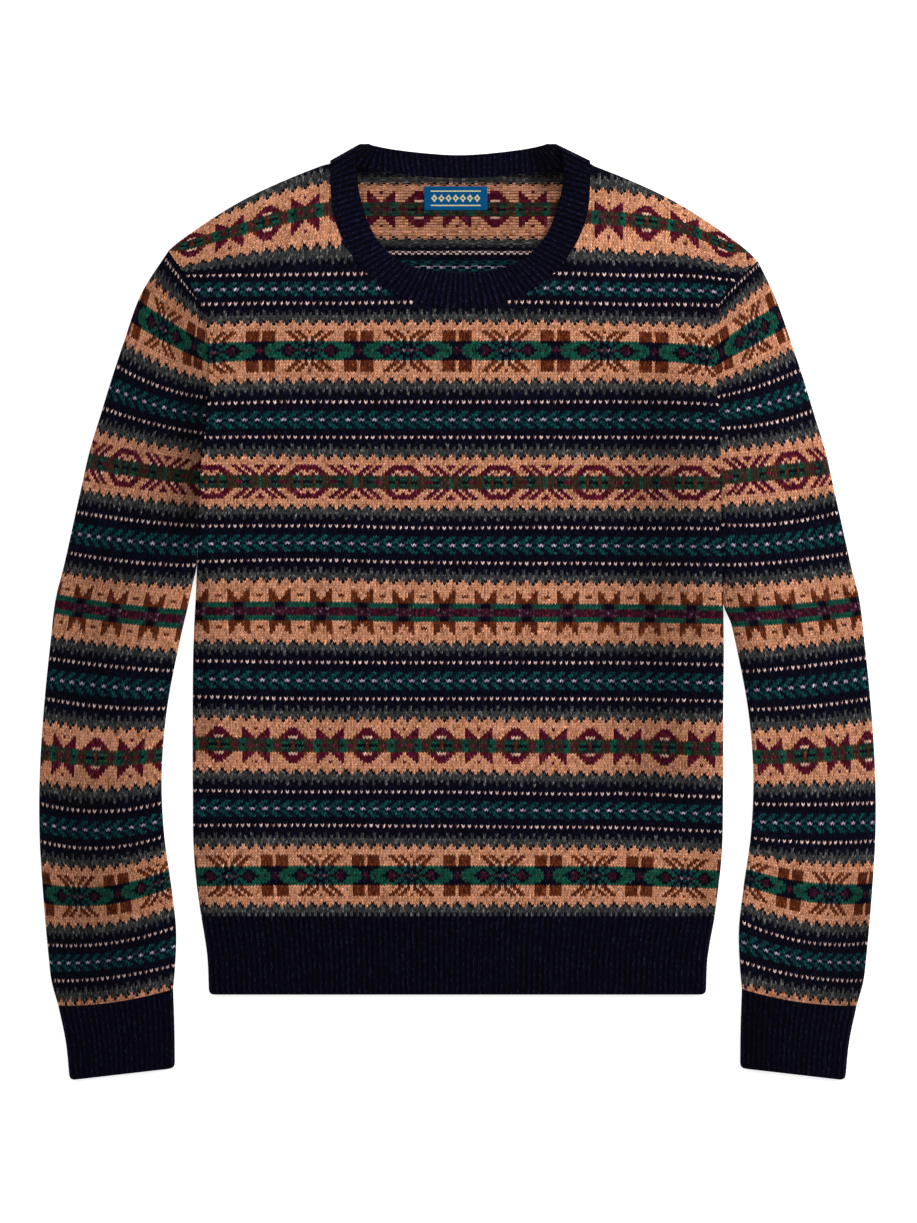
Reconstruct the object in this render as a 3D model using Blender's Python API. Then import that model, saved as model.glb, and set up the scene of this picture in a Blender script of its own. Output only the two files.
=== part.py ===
"""A crew-neck fair isle jumper lying flat on its back, front upwards, neck towards +Y.

Every piece is one knitted wall: two panels, two sleeve tubes, the ribbed neckband, hem and cuffs, and
a woven neck label. Each wall is laid out from its own outline or sections, in millimetres, and rests on
the plane z = 0. The origin is the bottom centre of the whole garment's box, +X the wearer's left.
"""

from collections import namedtuple

import bpy
import numpy as np
from mathutils.geometry import delaunay_2d_cdt

MM = 0.001

# The cloth, in millimetres.
WALL = 2.5
LAYER_GAP = 1.0
SEAM_GAP = 0.3
FOLD_LEVEL = WALL + LAYER_GAP / 2
TOP_LEVEL = 2 * WALL + LAYER_GAP
TOP_ROUND = 7.0
UNDER_ROUND = 4.0
RIB_PITCH = 4.6
RIB_RAISE = 0.6
RIB_SINK = 0.25
LABEL_WALL = 0.6
LABEL_LIFT = 0.3
LABEL_SIZE = (53.0, 20.0)
LABEL_CENTRE = (-1.5, 346.5)

# A flattened piece has an upper and an under layer. Each has the levels of its wall's outer and inner
# sides, the width over which it rounds down to a folded edge, and the places that divide that width.
Layer = namedtuple("Layer", "outer inner radius insets")
TOP = Layer(TOP_LEVEL, TOP_LEVEL - WALL, TOP_ROUND, (0.0, 0.7, 2.5, TOP_ROUND))
UNDER = Layer(0.0, WALL, UNDER_ROUND, (0.0, 1.0, UNDER_ROUND))
LAYERS = {"front": TOP, "back": UNDER}
SEAMS = {"front": FOLD_LEVEL + SEAM_GAP / 2, "back": FOLD_LEVEL - SEAM_GAP / 2}
INSET_BLEND = 12.0

# How closely the pieces are divided.
CELLS = {"front": 24.0, "back": 36.0}
EDGE_STEP = 15.0
NECK_STEP = 8.0
HEM_SPANS = 14
SHOULDER_SPANS = 8
SLEEVE_ROWS = 20
SLEEVE_SPANS = 8
CUFF_SPANS_UNDER = 3

# Body sides: how far each lies from the centre line, by height. Left and right are the wearer's own,
# so the right side is at -X.
Side = namedtuple("Side", "y right left")
SIDES = (
    Side(-322.8, 208.9, 208.9),
    Side(-290.0, 210.4, 210.4),
    Side(-257.0, 215.4, 216.2),
    Side(-240.0, 218.0, 218.4),
    Side(-210.0, 221.2, 221.8),
    Side(-150.0, 222.5, 223.3),
    Side(-90.0, 222.6, 223.4),
    Side(-30.0, 222.0, 223.9),
    Side(22.0, 219.6, 223.0),
    Side(60.0, 218.2, 222.0),
    Side(104.0, 216.8, 221.6),
)
HEM_BOTTOM, HEM_MIDDLE, HEM_TOP = (side.y for side in SIDES[:3])
HEM_WIDTH = SIDES[1].right + SIDES[1].left
UNDERARM = SIDES[-1].y

# Shoulder line on one side, from the armhole's end to the neck.
Point = namedtuple("Point", "x y")
SHOULDER = (
    Point(252.0, 295.0),
    Point(241.0, 304.5),
    Point(213.5, 324.5),
    Point(180.2, 345.0),
    Point(137.0, 365.0),
    Point(110.4, 375.4),
)
SHOULDER_CORNER = 4.0

# Armhole seams, as distances to the side of the centre line, from the shoulder to the underarm.
ARMHOLES = {
    "right": (
        Point(244.3, 301.1),
        Point(229.0, 277.5),
        Point(217.0, 254.1),
        Point(210.5, 228.0),
        Point(208.7, 201.0),
        Point(210.8, 160.0),
        Point(215.4, 122.0),
        Point(216.8, 104.0),
    ),
    "left": (
        Point(252.4, 294.3),
        Point(237.5, 276.0),
        Point(223.5, 257.5),
        Point(215.5, 233.0),
        Point(216.4, 205.0),
        Point(219.6, 165.0),
        Point(221.4, 125.0),
        Point(221.6, 104.0),
    ),
}
OUTWARDS = {"right": (-1.0, 1.0), "left": (1.0, 1.0)}

# Sleeve sections, each a line across the sleeve from the folded edge under the shoulder to the one
# under the arm. bow is how much of the armhole's own curve the section still has.
Section = namedtuple("Section", "outer_x outer_y inner_x inner_y bow")
SLEEVE = (
    Section(265.9, 266.0, 217.4, 98.0, 0.85),
    Section(281.0, 224.0, 218.2, 91.0, 0.62),
    Section(291.1, 193.5, 218.8, 83.0, 0.42),
    Section(300.3, 163.4, 219.3, 74.0, 0.25),
    Section(309.5, 133.1, 219.8, 64.0, 0.12),
    Section(316.3, 102.9, 220.3, 53.0, 0.05),
    Section(323.4, 71.0, 220.8, 40.0, 0.0),
    Section(331.0, 37.0, 222.4, 24.0, 0.0),
    Section(337.3, 12.2, 225.6, 8.0, 0.0),
    Section(342.3, -28.1, 233.9, -28.1, 0.0),
    Section(346.5, -68.5, 243.2, -76.0, 0.0),
    Section(350.2, -117.0, 248.2, -125.5, 0.0),
    Section(351.5, -150.0, 248.6, -154.0, 0.0),
    Section(351.3, -190.0, 246.4, -190.0, 0.0),
    Section(348.2, -240.0, 240.0, -236.0, 0.0),
    Section(343.6, -292.0, 236.4, -278.0, 0.0),
    Section(335.6, -332.0, 239.0, -318.0, 0.0),
)
CUFF = (
    Section(335.6, -332.0, 239.0, -318.0, 0.0),
    Section(329.4, -362.0, 237.9, -351.5, 0.0),
    Section(326.0, -394.8, 237.5, -384.6, 0.0),
)

# Neckband stations from the centre back round the left shoulder to the centre front: the seam edge, the
# free edge, and turn, which is -1 where the band lies at the back, 1 where it lies in front and 0 on its
# fold. x is measured from the neck's own centre line, and the other half is its mirror, but for a lean
# of the free edge that grows with the height above a level.
NECK_CENTRE_X = 2.3
BAND_LEAN = -0.08
BAND_LEAN_FROM = 366.0
Station = namedtuple("Station", "seam_x seam_y free_x free_y turn")
NECKBAND = (
    Station(0.0, 363.7, 0.0, 383.0, -1.0),
    Station(31.0, 365.0, 32.0, 385.0, -1.0),
    Station(61.0, 368.6, 60.0, 388.7, -1.0),
    Station(88.0, 373.2, 76.0, 391.0, -1.0),
    Station(102.5, 376.4, 80.5, 392.0, -0.95),
    Station(107.6, 377.4, 84.0, 391.4, 0.0),
    Station(109.0, 371.0, 86.4, 384.0, 0.95),
    Station(109.0, 359.5, 86.6, 366.0, 1.0),
    Station(106.6, 334.0, 82.5, 342.0, 1.0),
    Station(97.5, 309.0, 73.5, 318.0, 1.0),
    Station(81.5, 286.5, 59.5, 300.0, 1.0),
    Station(59.0, 268.6, 42.0, 290.0, 1.0),
    Station(30.5, 257.5, 21.5, 285.4, 1.0),
    Station(0.0, 254.0, 0.0, 284.2, 1.0),
)
BAND_SEAM_GAP = 0.6
BAND_LIFT = 0.4
BAND_BULGE = 1.5
BAND_SHARES = (0.0, 0.5, 1.0)

# Soft folds in the cloth that lies on top: a line from one end to the other, with its width and height.
# FOLD_END is the share of its height that a fold has at its ends, and near a folded edge it fades out.
Fold = namedtuple("Fold", "x0 y0 x1 y1 width height")
FOLDS = (
    Fold(-206.0, 128.0, -132.0, 66.0, 26.0, 1.6),
    Fold(211.0, 122.0, 146.0, 48.0, 28.0, 1.7),
    Fold(-196.0, -60.0, -170.0, -236.0, 34.0, 1.3),
    Fold(198.0, -40.0, 176.0, -232.0, 32.0, 1.4),
    Fold(-60.0, -236.0, 80.0, -226.0, 30.0, 1.1),
    Fold(-150.0, 250.0, -96.0, 190.0, 30.0, 1.2),
    Fold(152.0, 246.0, 104.0, 186.0, 30.0, 1.2),
    Fold(-236.0, 20.0, -318.0, -26.0, 22.0, 1.9),
    Fold(-246.0, -50.0, -330.0, -70.0, 20.0, 1.4),
    Fold(236.0, 24.0, 322.0, -14.0, 22.0, 1.9),
    Fold(246.0, -60.0, 328.0, -52.0, 20.0, 1.4),
    Fold(-292.0, -160.0, -296.0, -286.0, 26.0, 1.8),
    Fold(300.0, -170.0, 290.0, -288.0, 26.0, 1.8),
    Fold(-232.0, 118.0, -268.0, 196.0, 24.0, 1.6),
    Fold(236.0, 112.0, 270.0, 190.0, 24.0, 1.6),
)
FOLD_FADE = 30.0
FOLD_END = 0.35

COLOURS = {
    "navy": (0.020, 0.019, 0.035, 1.0),
    "mixed": (0.130, 0.105, 0.085, 1.0),
    "label": (0.035, 0.110, 0.240, 1.0),
}
KNIT_ROUGHNESS = 0.95
LABEL_ROUGHNESS = 0.6
COLLECTION = "fair_isle_jumper"
SHARP_ANGLE = np.radians(50)

# Tolerances for filling a panel with cells.
TOUCHING = 0.01
LATTICE_CLEARANCE = 0.4
FILL_EPSILON = 1e-4


# ---------------------------------------------------------------- curves and edges


def knots_of(rows):
    """Distances along a table's rows, measured through their first two columns."""
    steps = np.linalg.norm(np.diff(rows[:, :2], axis=0), axis=1)
    return np.concatenate([[0.0], np.cumsum(steps)])


def through(rows, knots, at):
    """Smooth values of a table at the places given, on a cubic through its rows."""
    slope = np.gradient(rows, knots, axis=0)
    at = np.asarray(at, float)
    i = np.clip(np.searchsorted(knots, at, side="right") - 1, 0, len(knots) - 2)
    span = (knots[i + 1] - knots[i])[:, None]
    t = (at - knots[i])[:, None] / span
    rise = rows[i] * (1 + 2 * t) * (1 - t) ** 2 + rows[i + 1] * t * t * (3 - 2 * t)
    return rise + span * t * (1 - t) * (slope[i] * (1 - t) - slope[i + 1] * t)


def curve_points(table, fractions):
    """Points on the smooth curve through a table of points, at fractions of its length."""
    rows = np.array(table, float)
    knots = knots_of(rows)
    return through(rows, knots, np.asarray(fractions) * knots[-1])


def half_width(heights, hand):
    """How far the body's side lies from the centre line at each height."""
    rows = np.array(SIDES, float)
    column = Side._fields.index(hand)
    return through(rows[:, [column]], rows[:, 0], heights)[:, 0]


def moved_left(points, gap):
    """The points of an open line moved to the left of its direction."""
    along = np.gradient(points, axis=0)
    along /= np.linalg.norm(along, axis=1)[:, None]
    return points + gap * np.column_stack([-along[:, 1], along[:, 0]])


def rounded(edge_distance, radius):
    """0 at a folded edge, rising along a quarter ellipse to 1 at the radius."""
    outwards = 1 - np.clip(edge_distance / radius, 0, 1)
    return np.sqrt(1 - outwards**2)


def lift(points, edge_distance):
    """Height of the soft folds over flat cloth, fading out towards the folded edges."""
    height = np.zeros(len(points))
    for fold in FOLDS:
        start = np.array((fold.x0, fold.y0))
        run = np.array((fold.x1, fold.y1)) - start
        share = np.clip((points - start) @ run / (run @ run), 0, 1)
        away = np.linalg.norm(points - start - share[:, None] * run, axis=1) / fold.width
        taper = FOLD_END + (1 - FOLD_END) * np.sin(np.pi * share)
        height = np.maximum(height, fold.height * taper * np.exp(-2 * away**2))
    fade = np.clip(edge_distance / FOLD_FADE, 0, 1)
    return height * fade * fade * (3 - 2 * fade)


def section_places(width, layer, spans, pull):
    """Places across a layer, from one folded edge to the other. pull moves the ones near an edge
    inwards, as the wall's inner side lies inside its outer side."""
    near = np.array(layer.insets)
    near = near + pull * (1 - near / INSET_BLEND)
    middle = np.linspace(near[-1], width - near[-1], spans + 1)[1:-1]
    return np.concatenate([near, middle, (width - near)[::-1]])


def rib_shares(width):
    """Fractions of the way across a ribbed layer: its grooves and the crests between them, in turn."""
    return np.linspace(0, 1, 2 * int(round(width / RIB_PITCH)) + 1)


def rib_heights(count):
    """How far each of a row of crests and grooves stands over a plain wall. Both ends are plain."""
    ridge = np.where(np.arange(count) % 2 == 1, RIB_RAISE, -RIB_SINK)
    ridge[[0, -1]] = 0.0
    return ridge


# ---------------------------------------------------------------- solids


def material(name, colour, roughness):
    made = bpy.data.materials.new(name)
    made.use_nodes = True
    shader = made.node_tree.nodes["Principled BSDF"]
    shader.inputs["Base Color"].default_value = colour
    shader.inputs["Roughness"].default_value = roughness
    return made


def wall_solid(name, outer, inner, faces, finish):
    """One closed wall: the outer faces, the inner ones behind them and a rim along every open edge."""
    count = len(outer)
    directed = {(a, b) for face in faces for a, b in zip(face, face[1:] + face[:1])}
    rim = [(b, a, a + count, b + count) for a, b in directed if (b, a) not in directed]
    behind = [tuple(i + count for i in reversed(face)) for face in faces]
    points = np.concatenate([outer, inner]) * MM
    mesh = bpy.data.meshes.new(name)
    mesh.from_pydata(points.tolist(), [], faces + behind + sorted(rim))
    mesh.shade_smooth()
    mesh.set_sharp_from_angle(angle=SHARP_ANGLE)
    mesh.materials.append(finish)
    piece = bpy.data.objects.new(name, mesh)
    bpy.data.collections[COLLECTION].objects.link(piece)


def grid_faces(rows, columns, round_rows=False, round_columns=False):
    """Quads of a grid of points, row after row, closed round either way if asked."""
    return [
        (
            r * columns + c,
            r * columns + (c + 1) % columns,
            (r + 1) % rows * columns + (c + 1) % columns,
            (r + 1) % rows * columns + c,
        )
        for r in range(rows if round_rows else rows - 1)
        for c in range(columns if round_columns else columns - 1)
    ]


def turned_over(faces):
    return [tuple(reversed(face)) for face in faces]


# ---------------------------------------------------------------- front and back


def nearest_edge(points, lines):
    """Distance from each point to the nearest of some open lines, and the direction away from it."""
    nearest = np.full(len(points), np.inf)
    away = np.zeros((len(points), 2))
    for line in lines:
        for a, b in zip(line[:-1], line[1:]):
            run = b - a
            share = np.clip((points - a) @ run / (run @ run), 0, 1)
            offset = points - a - share[:, None] * run
            distance = np.linalg.norm(offset, axis=1)
            touching = distance < TOUCHING
            offset[touching] = np.array((-run[1], run[0])) / np.linalg.norm(run)
            length = np.where(touching, 1.0, distance)
            closer = distance < nearest
            nearest[closer] = distance[closer]
            away[closer] = (offset / length[:, None])[closer]
    return nearest, away


def inside(points, outline):
    """Which points lie inside a closed outline."""
    crossings = np.zeros(len(points), int)
    for (ax, ay), (bx, by) in zip(outline, np.roll(outline, -1, axis=0)):
        spans = (ay > points[:, 1]) != (by > points[:, 1])
        slope = (bx - ax) / (by - ay) if by != ay else 0.0
        crossings += spans & (points[:, 0] < ax + (points[:, 1] - ay) * slope)
    return crossings % 2 == 1


def armhole(hand, part):
    """The panel's edge down an armhole, with the same points as the sleeve's edge beside it."""
    ends = curve_points(ARMHOLES[hand], [0.0, 1.0])
    width = np.linalg.norm(ends[1] - ends[0])
    places = section_places(width, LAYERS[part], SLEEVE_SPANS, 0.0)
    seam = curve_points(ARMHOLES[hand], places / width) * OUTWARDS[hand]
    return moved_left(seam, -OUTWARDS[hand][0] * SEAM_GAP / 2)


def neckline(part):
    """The panel's edge under the neckband, from the wearer's left to the right."""
    low, high = (0.0, 1.0) if part == "front" else (-1.0, 0.0)
    rows = [s for s in NECKBAND if low <= s.turn <= high]
    half = [Point(s.seam_x, s.seam_y) for s in (rows if part == "front" else rows[::-1])]
    whole = half + [Point(-p.x, p.y) for p in half[-2::-1]]
    length = knots_of(np.array(whole))[-1]
    points = curve_points(whole, np.linspace(0, 1, int(round(length / NECK_STEP)) + 1))
    points = points[1:-1] + (NECK_CENTRE_X, 0)
    return moved_left(points, BAND_SEAM_GAP)


def shoulder(corner, hand):
    """The shoulder's folded edge, from the armhole's corner to the neck."""
    points = curve_points(SHOULDER, np.linspace(0, 1, SHOULDER_SPANS + 1)) * OUTWARDS[hand]
    points[-1, 0] += NECK_CENTRE_X
    beyond = points[np.abs(points[:, 0]) < abs(corner[0]) - SHOULDER_CORNER]
    return np.concatenate([[corner], beyond])


def panel_outline(part):
    """A panel's cut outline, anticlockwise, and the stretches of it that are folded edges."""
    spans = int(round((UNDERARM - HEM_TOP) / EDGE_STEP))
    heights = np.linspace(HEM_TOP + SEAM_GAP / 2, UNDERARM, spans + 1)
    side_left = np.column_stack([half_width(heights, "left"), heights])
    side_right = np.column_stack([-half_width(heights, "right"), heights])
    side_left[-1, 0] -= SEAM_GAP / 2
    side_right[-1, 0] += SEAM_GAP / 2
    hem_x = np.linspace(side_right[0, 0], side_left[0, 0], HEM_SPANS + 1)[1:-1]
    hem = np.column_stack([hem_x, np.full(len(hem_x), heights[0])])
    hole_left, hole_right = armhole("left", part), armhole("right", part)
    shoulder_left = shoulder(hole_left[0], "left")
    shoulder_right = shoulder(hole_right[0], "right")
    stretches = [
        hem,
        side_left[:-1],
        hole_left[::-1],
        shoulder_left[1:],
        neckline(part),
        shoulder_right[:0:-1],
        hole_right,
        side_right[-2::-1],
    ]
    folded = [side_left, shoulder_left, shoulder_right[::-1], side_right[::-1]]
    return np.concatenate(stretches), folded


def panel_cells(outline, folded, part):
    """A panel's flat points and faces: its outline, lines beside its folded edges and a lattice."""
    layer, cell = LAYERS[part], CELLS[part]
    beside = [moved_left(line, inset) for line in folded for inset in layer.insets[1:]]
    low, high = outline.min(0), outline.max(0)
    lattice = [
        (x, y + cell / 2 * (i % 2))
        for i, x in enumerate(np.arange(low[0], high[0], cell))
        for y in np.arange(low[1] + cell / 2, high[1], cell)
    ]
    free = np.concatenate([*beside, np.array(lattice)])
    free = free[inside(free, outline)]
    rim_distance, _ = nearest_edge(free, [np.concatenate([outline, outline[:1]])])
    edge_distance, _ = nearest_edge(free, folded)
    beside_edge = edge_distance < layer.radius + TOUCHING
    keep = rim_distance > np.where(beside_edge, SEAM_GAP, cell * LATTICE_CLEARANCE)
    points = np.concatenate([outline, free[keep]])
    edges = [(i, (i + 1) % len(outline)) for i in range(len(outline))]
    flat, _, faces, *_ = delaunay_2d_cdt([tuple(p) for p in points], edges, [], 1, FILL_EPSILON)
    return np.array(flat), [tuple(face) for face in faces]


def panel(name, part, finish):
    """A front or back: cut flat, laid at its layer's level and rounded down at its folded edges."""
    outline, folded = panel_outline(part)
    flat, faces = panel_cells(outline, folded, part)
    layer, seam = LAYERS[part], SEAMS[part]
    distance, inwards = nearest_edge(flat, folded)
    pull = WALL * np.clip(1 - distance / INSET_BLEND, 0, 1)
    rise = rounded(distance, layer.radius)
    fold = lift(flat, distance) if part == "front" else 0.0
    outer = np.column_stack([flat, seam + (layer.outer - seam) * rise + fold])
    under = flat + inwards * pull[:, None]
    inner = np.column_stack([under, seam + (layer.inner - seam) * rise + fold])
    wall_solid(name, outer, inner, faces if part == "front" else turned_over(faces), finish)


# ---------------------------------------------------------------- sleeves and cuffs


def tube_section(start, end, inner_side, hand, top_places, under_places, ridge, bend):
    """One section of a flattened tube as a closed ring: over the top from one folded edge to the
    other, then back along the underside. bend gives a point's offset at a fraction of the way."""
    run = end - start
    width = np.linalg.norm(run)
    pull = WALL if inner_side else 0.0
    ring = []
    for places, layer in ((top_places, TOP), (under_places[1:-1][::-1], UNDER)):
        share = places / width
        flat = (start + share[:, None] * run + bend(share)) * OUTWARDS[hand]
        edge = np.minimum(places, width - places) - pull
        level = layer.inner if inner_side else layer.outer
        height = FOLD_LEVEL + (level - FOLD_LEVEL) * rounded(edge, layer.radius)
        if layer is TOP:
            height = height + lift(flat, edge) + (0.0 if inner_side else ridge)
        ring.append(np.column_stack([flat, height]))
    return np.concatenate(ring)


def tube(name, hand, skins, finish):
    """A closed wall from a flattened tube's outer and inner sections."""
    faces = grid_faces(len(skins[0]), len(skins[0][0]), round_columns=True)
    if hand == "right":
        faces = turned_over(faces)
    wall_solid(name, np.concatenate(skins[0]), np.concatenate(skins[1]), faces, finish)


def sleeve(name, hand, finish):
    """A sleeve: one knitted wall folded into a flat tube, open at the armhole and at the cuff."""
    ends = curve_points(ARMHOLES[hand], [0.0, 1.0])

    def armhole_bow(share):
        return curve_points(ARMHOLES[hand], share) - (ends[0] + share[:, None] * (ends[1] - ends[0]))

    rows = np.array((Section(*ends[0], *ends[1], 1.0), *SLEEVE), float)
    knots = knots_of(rows)
    sections = through(rows, knots, np.linspace(0, knots[-1], SLEEVE_ROWS + 1))
    beside_body = half_width(np.minimum(sections[:, 3], UNDERARM), hand) + 2 * SEAM_GAP
    sections[1:, 2] = np.maximum(sections[1:, 2], beside_body[1:])
    sections[0, [0, 2]] += SEAM_GAP / 2
    sections[-1, [1, 3]] += SEAM_GAP / 2
    skins = ([], [])
    for section in sections:
        start, end, bow = section[:2], section[2:4], section[4]
        width = np.linalg.norm(end - start)
        for inner_side, skin in enumerate(skins):
            pull = WALL * inner_side
            skin.append(
                tube_section(
                    start,
                    end,
                    inner_side,
                    hand,
                    section_places(width, TOP, SLEEVE_SPANS, pull),
                    section_places(width, UNDER, SLEEVE_SPANS, pull),
                    0.0,
                    lambda share, bow=bow: bow * armhole_bow(share),
                )
            )
    tube(name, hand, skins, finish)


def cuff(name, hand, finish):
    """A cuff: a ribbed tube, its ribs raised all over but for the underside that it rests on."""
    widest = CUFF[0].outer_x - CUFF[0].inner_x
    skins = ([], [])
    for index, section in enumerate(CUFF):
        drop = np.array((0.0, -SEAM_GAP / 2 if index == 0 else 0.0))
        start = np.array((section.outer_x, section.outer_y)) + drop
        end = np.array((section.inner_x, section.inner_y)) + drop
        width = np.linalg.norm(end - start)
        for inner_side, skin in enumerate(skins):
            pull = WALL * inner_side
            ribs = rib_shares(widest)
            skin.append(
                tube_section(
                    start,
                    end,
                    inner_side,
                    hand,
                    pull + ribs * (width - 2 * pull),
                    section_places(width, UNDER, CUFF_SPANS_UNDER, pull),
                    rib_heights(len(ribs)),
                    lambda share: 0.0,
                )
            )
    tube(name, hand, skins, finish)


# ---------------------------------------------------------------- hem, neckband and label


def hem_rib(name, part, finish):
    """Half of the hem. The front's ribs stand up, and the back lies flat on its own side."""
    layer, seam = LAYERS[part], SEAMS[part]
    heights = np.array((HEM_BOTTOM, HEM_MIDDLE, HEM_TOP - SEAM_GAP / 2))
    reach_right, reach_left = half_width(heights, "right"), half_width(heights, "left")
    ribs = rib_shares(HEM_WIDTH)
    skins = ([], [])
    for y, right, left in zip(heights, reach_right, reach_left):
        width = right + left
        for inner_side, skin in enumerate(skins):
            pull = WALL * inner_side
            if part == "front":
                places = pull + ribs * (width - 2 * pull)
            else:
                places = section_places(width, UNDER, HEM_SPANS, pull)
            edge = np.minimum(places, width - places) - pull
            level = layer.inner if inner_side else layer.outer
            height = seam + (level - seam) * rounded(edge, layer.radius)
            if part == "front" and not inner_side:
                height = height + rib_heights(len(places))
            skin.append(np.column_stack([places - right, np.full(len(places), y), height]))
    faces = grid_faces(len(heights), len(skins[0][0]))
    if part == "back":
        faces = turned_over(faces)
    wall_solid(name, np.concatenate(skins[0]), np.concatenate(skins[1]), faces, finish)


def band_stations():
    """The neckband's stations all the way round, two to a rib: seam edge, free edge and turn."""
    half = np.array(NECKBAND, float)
    mirrored = half[-2:0:-1] * (-1, 1, -1, 1, 1)
    loop = np.concatenate([half, mirrored, half[:1]])
    knots = knots_of((loop[:, :2] + loop[:, 2:4]) / 2)
    length = knots[-1]
    three_rounds = np.concatenate([loop[:-1], loop, loop[1:]])
    three_knots = np.concatenate([knots[:-1] - length, knots, knots[1:] + length])
    at = np.linspace(0, length, 2 * int(round(length / RIB_PITCH)) + 1)[:-1]
    stations = through(three_rounds, three_knots, at)
    stations[:, [0, 2]] += NECK_CENTRE_X
    stations[:, 2] += BAND_LEAN * np.clip(stations[:, 3] - BAND_LEAN_FROM, 0, None)
    return stations


def neckband(name, finish):
    """The neckband: a ribbed strip round the neck, folded over at each shoulder. Its ribs stand on the
    side that faces up, which is its inside at the back and its outside in front."""
    middle = (TOP_LEVEL + BAND_LIFT) / 2
    outer, inner = [], []
    stations = band_stations()
    for index, (seam_x, seam_y, free_x, free_y, turn) in enumerate(stations):
        seam, free = np.array((seam_x, seam_y)), np.array((free_x, free_y))
        facing = np.sin(np.clip(turn, -1, 1) * np.pi / 2)
        rib = RIB_RAISE if index % 2 else -RIB_SINK
        outer_z = middle + (middle + rib * max(facing, 0.0)) * facing
        inner_z = middle + (middle - WALL - rib * max(-facing, 0.0)) * facing
        run = (free - seam) / np.linalg.norm(free - seam)
        outwards = np.array((run[1], -run[0])) * np.sign(seam_x - NECK_CENTRE_X)
        bulge = outwards * np.sqrt(1 - facing**2)
        for share in BAND_SHARES:
            base = seam + share * (free - seam)
            outer.append((*(base + bulge * BAND_BULGE), outer_z))
            inner.append((*(base + bulge * (BAND_BULGE - WALL)), inner_z))
    faces = grid_faces(len(stations), len(BAND_SHARES), round_rows=True)
    wall_solid(name, np.array(outer), np.array(inner), faces, finish)


def neck_label(name, finish):
    """The woven label, a thin plate on the inside of the back."""
    centre = (*LABEL_CENTRE, WALL + LABEL_LIFT + LABEL_WALL / 2)
    bpy.ops.mesh.primitive_cube_add(size=1, location=[MM * v for v in centre])
    piece = bpy.context.object
    piece.name = piece.data.name = name
    piece.scale = [MM * v for v in (*LABEL_SIZE, LABEL_WALL)]
    bpy.ops.object.transform_apply(location=False, rotation=False, scale=True)
    piece.data.materials.append(finish)
    for holder in list(piece.users_collection):
        holder.objects.unlink(piece)
    bpy.data.collections[COLLECTION].objects.link(piece)


def build():
    for thing in list(bpy.data.objects):
        bpy.data.objects.remove(thing)
    bpy.context.scene.collection.children.link(bpy.data.collections.new(COLLECTION))
    rib = material("rib_knit", COLOURS["navy"], KNIT_ROUGHNESS)
    knit = material("fair_isle_knit", COLOURS["mixed"], KNIT_ROUGHNESS)
    woven = material("woven_label", COLOURS["label"], LABEL_ROUGHNESS)
    for part in ("front", "back"):
        panel(f"{part}_panel", part, knit)
        hem_rib(f"hem_rib_{part}", part, rib)
    for hand in ("left", "right"):
        sleeve(f"sleeve_{hand}", hand, knit)
        cuff(f"cuff_{hand}", hand, rib)
    neckband("neckband", rib)
    neck_label("neck_label", woven)


build()
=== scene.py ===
"""The looks of a fair isle jumper that lies flat on its back: stitches, colourwork, ribs and label.

Lengths are in millimetres, +X to the wearer's left, +Y towards the neck, +Z up from the surface. Stitches
are counted in columns from the centre line and in rows from the middle of the band across the yoke.
"""

from collections import namedtuple

import bpy
import numpy as np
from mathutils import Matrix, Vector
from mathutils.geometry import delaunay_2d_cdt


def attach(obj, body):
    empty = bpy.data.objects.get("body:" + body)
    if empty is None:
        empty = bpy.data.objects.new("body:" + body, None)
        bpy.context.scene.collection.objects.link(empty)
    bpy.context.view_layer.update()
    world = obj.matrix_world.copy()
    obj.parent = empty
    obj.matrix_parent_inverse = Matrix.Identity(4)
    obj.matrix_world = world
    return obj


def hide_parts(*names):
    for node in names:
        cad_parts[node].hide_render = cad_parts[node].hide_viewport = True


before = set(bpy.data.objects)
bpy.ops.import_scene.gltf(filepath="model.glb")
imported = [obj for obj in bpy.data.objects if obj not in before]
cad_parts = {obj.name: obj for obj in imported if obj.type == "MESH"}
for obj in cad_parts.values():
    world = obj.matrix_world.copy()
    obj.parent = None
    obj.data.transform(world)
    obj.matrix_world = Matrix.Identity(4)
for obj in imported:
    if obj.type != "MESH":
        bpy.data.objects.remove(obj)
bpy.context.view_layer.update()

MM = 0.001
rng = np.random.default_rng(7)

# ---- the garment's sizes

WALL = 2.5
SEAM_GAP = -0.16
LEVEL_GAP = 0.3
FOLD_LEVEL = 3.0
TOP_LEVEL = 6.0
TOP_ROUND = 7.0
UNDER_ROUND = 4.0
RIB_PITCH = 4.6
RIB_RAISE = 0.6
RIB_SINK = 0.25
Layer = namedtuple("Layer", "outer inner radius")
TOP = Layer(TOP_LEVEL, TOP_LEVEL - WALL, TOP_ROUND)
UNDER = Layer(0.0, WALL, UNDER_ROUND)
LAYERS = {"front": TOP, "back": UNDER}
SEAMS = {"front": FOLD_LEVEL + LEVEL_GAP / 2, "back": FOLD_LEVEL - LEVEL_GAP / 2}
INSET_BLEND = 12.0

# Up the body's sides: the height, and how far out the right and the left side are.
SIDES = (
    (-322.8, 208.9, 208.9), (-290, 210.4, 210.4), (-257, 215.4, 216.2), (-240, 218, 218.4),
    (-210, 221.2, 221.8), (-150, 222.5, 223.3), (-90, 222.6, 223.4), (-30, 222, 223.9), (22, 219.6, 223),
    (60, 218.2, 222), (104, 216.8, 221.6),
)
HEM_BOTTOM, HEM_TOP, UNDERARM = SIDES[0][0], SIDES[2][0], SIDES[-1][0]

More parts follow.
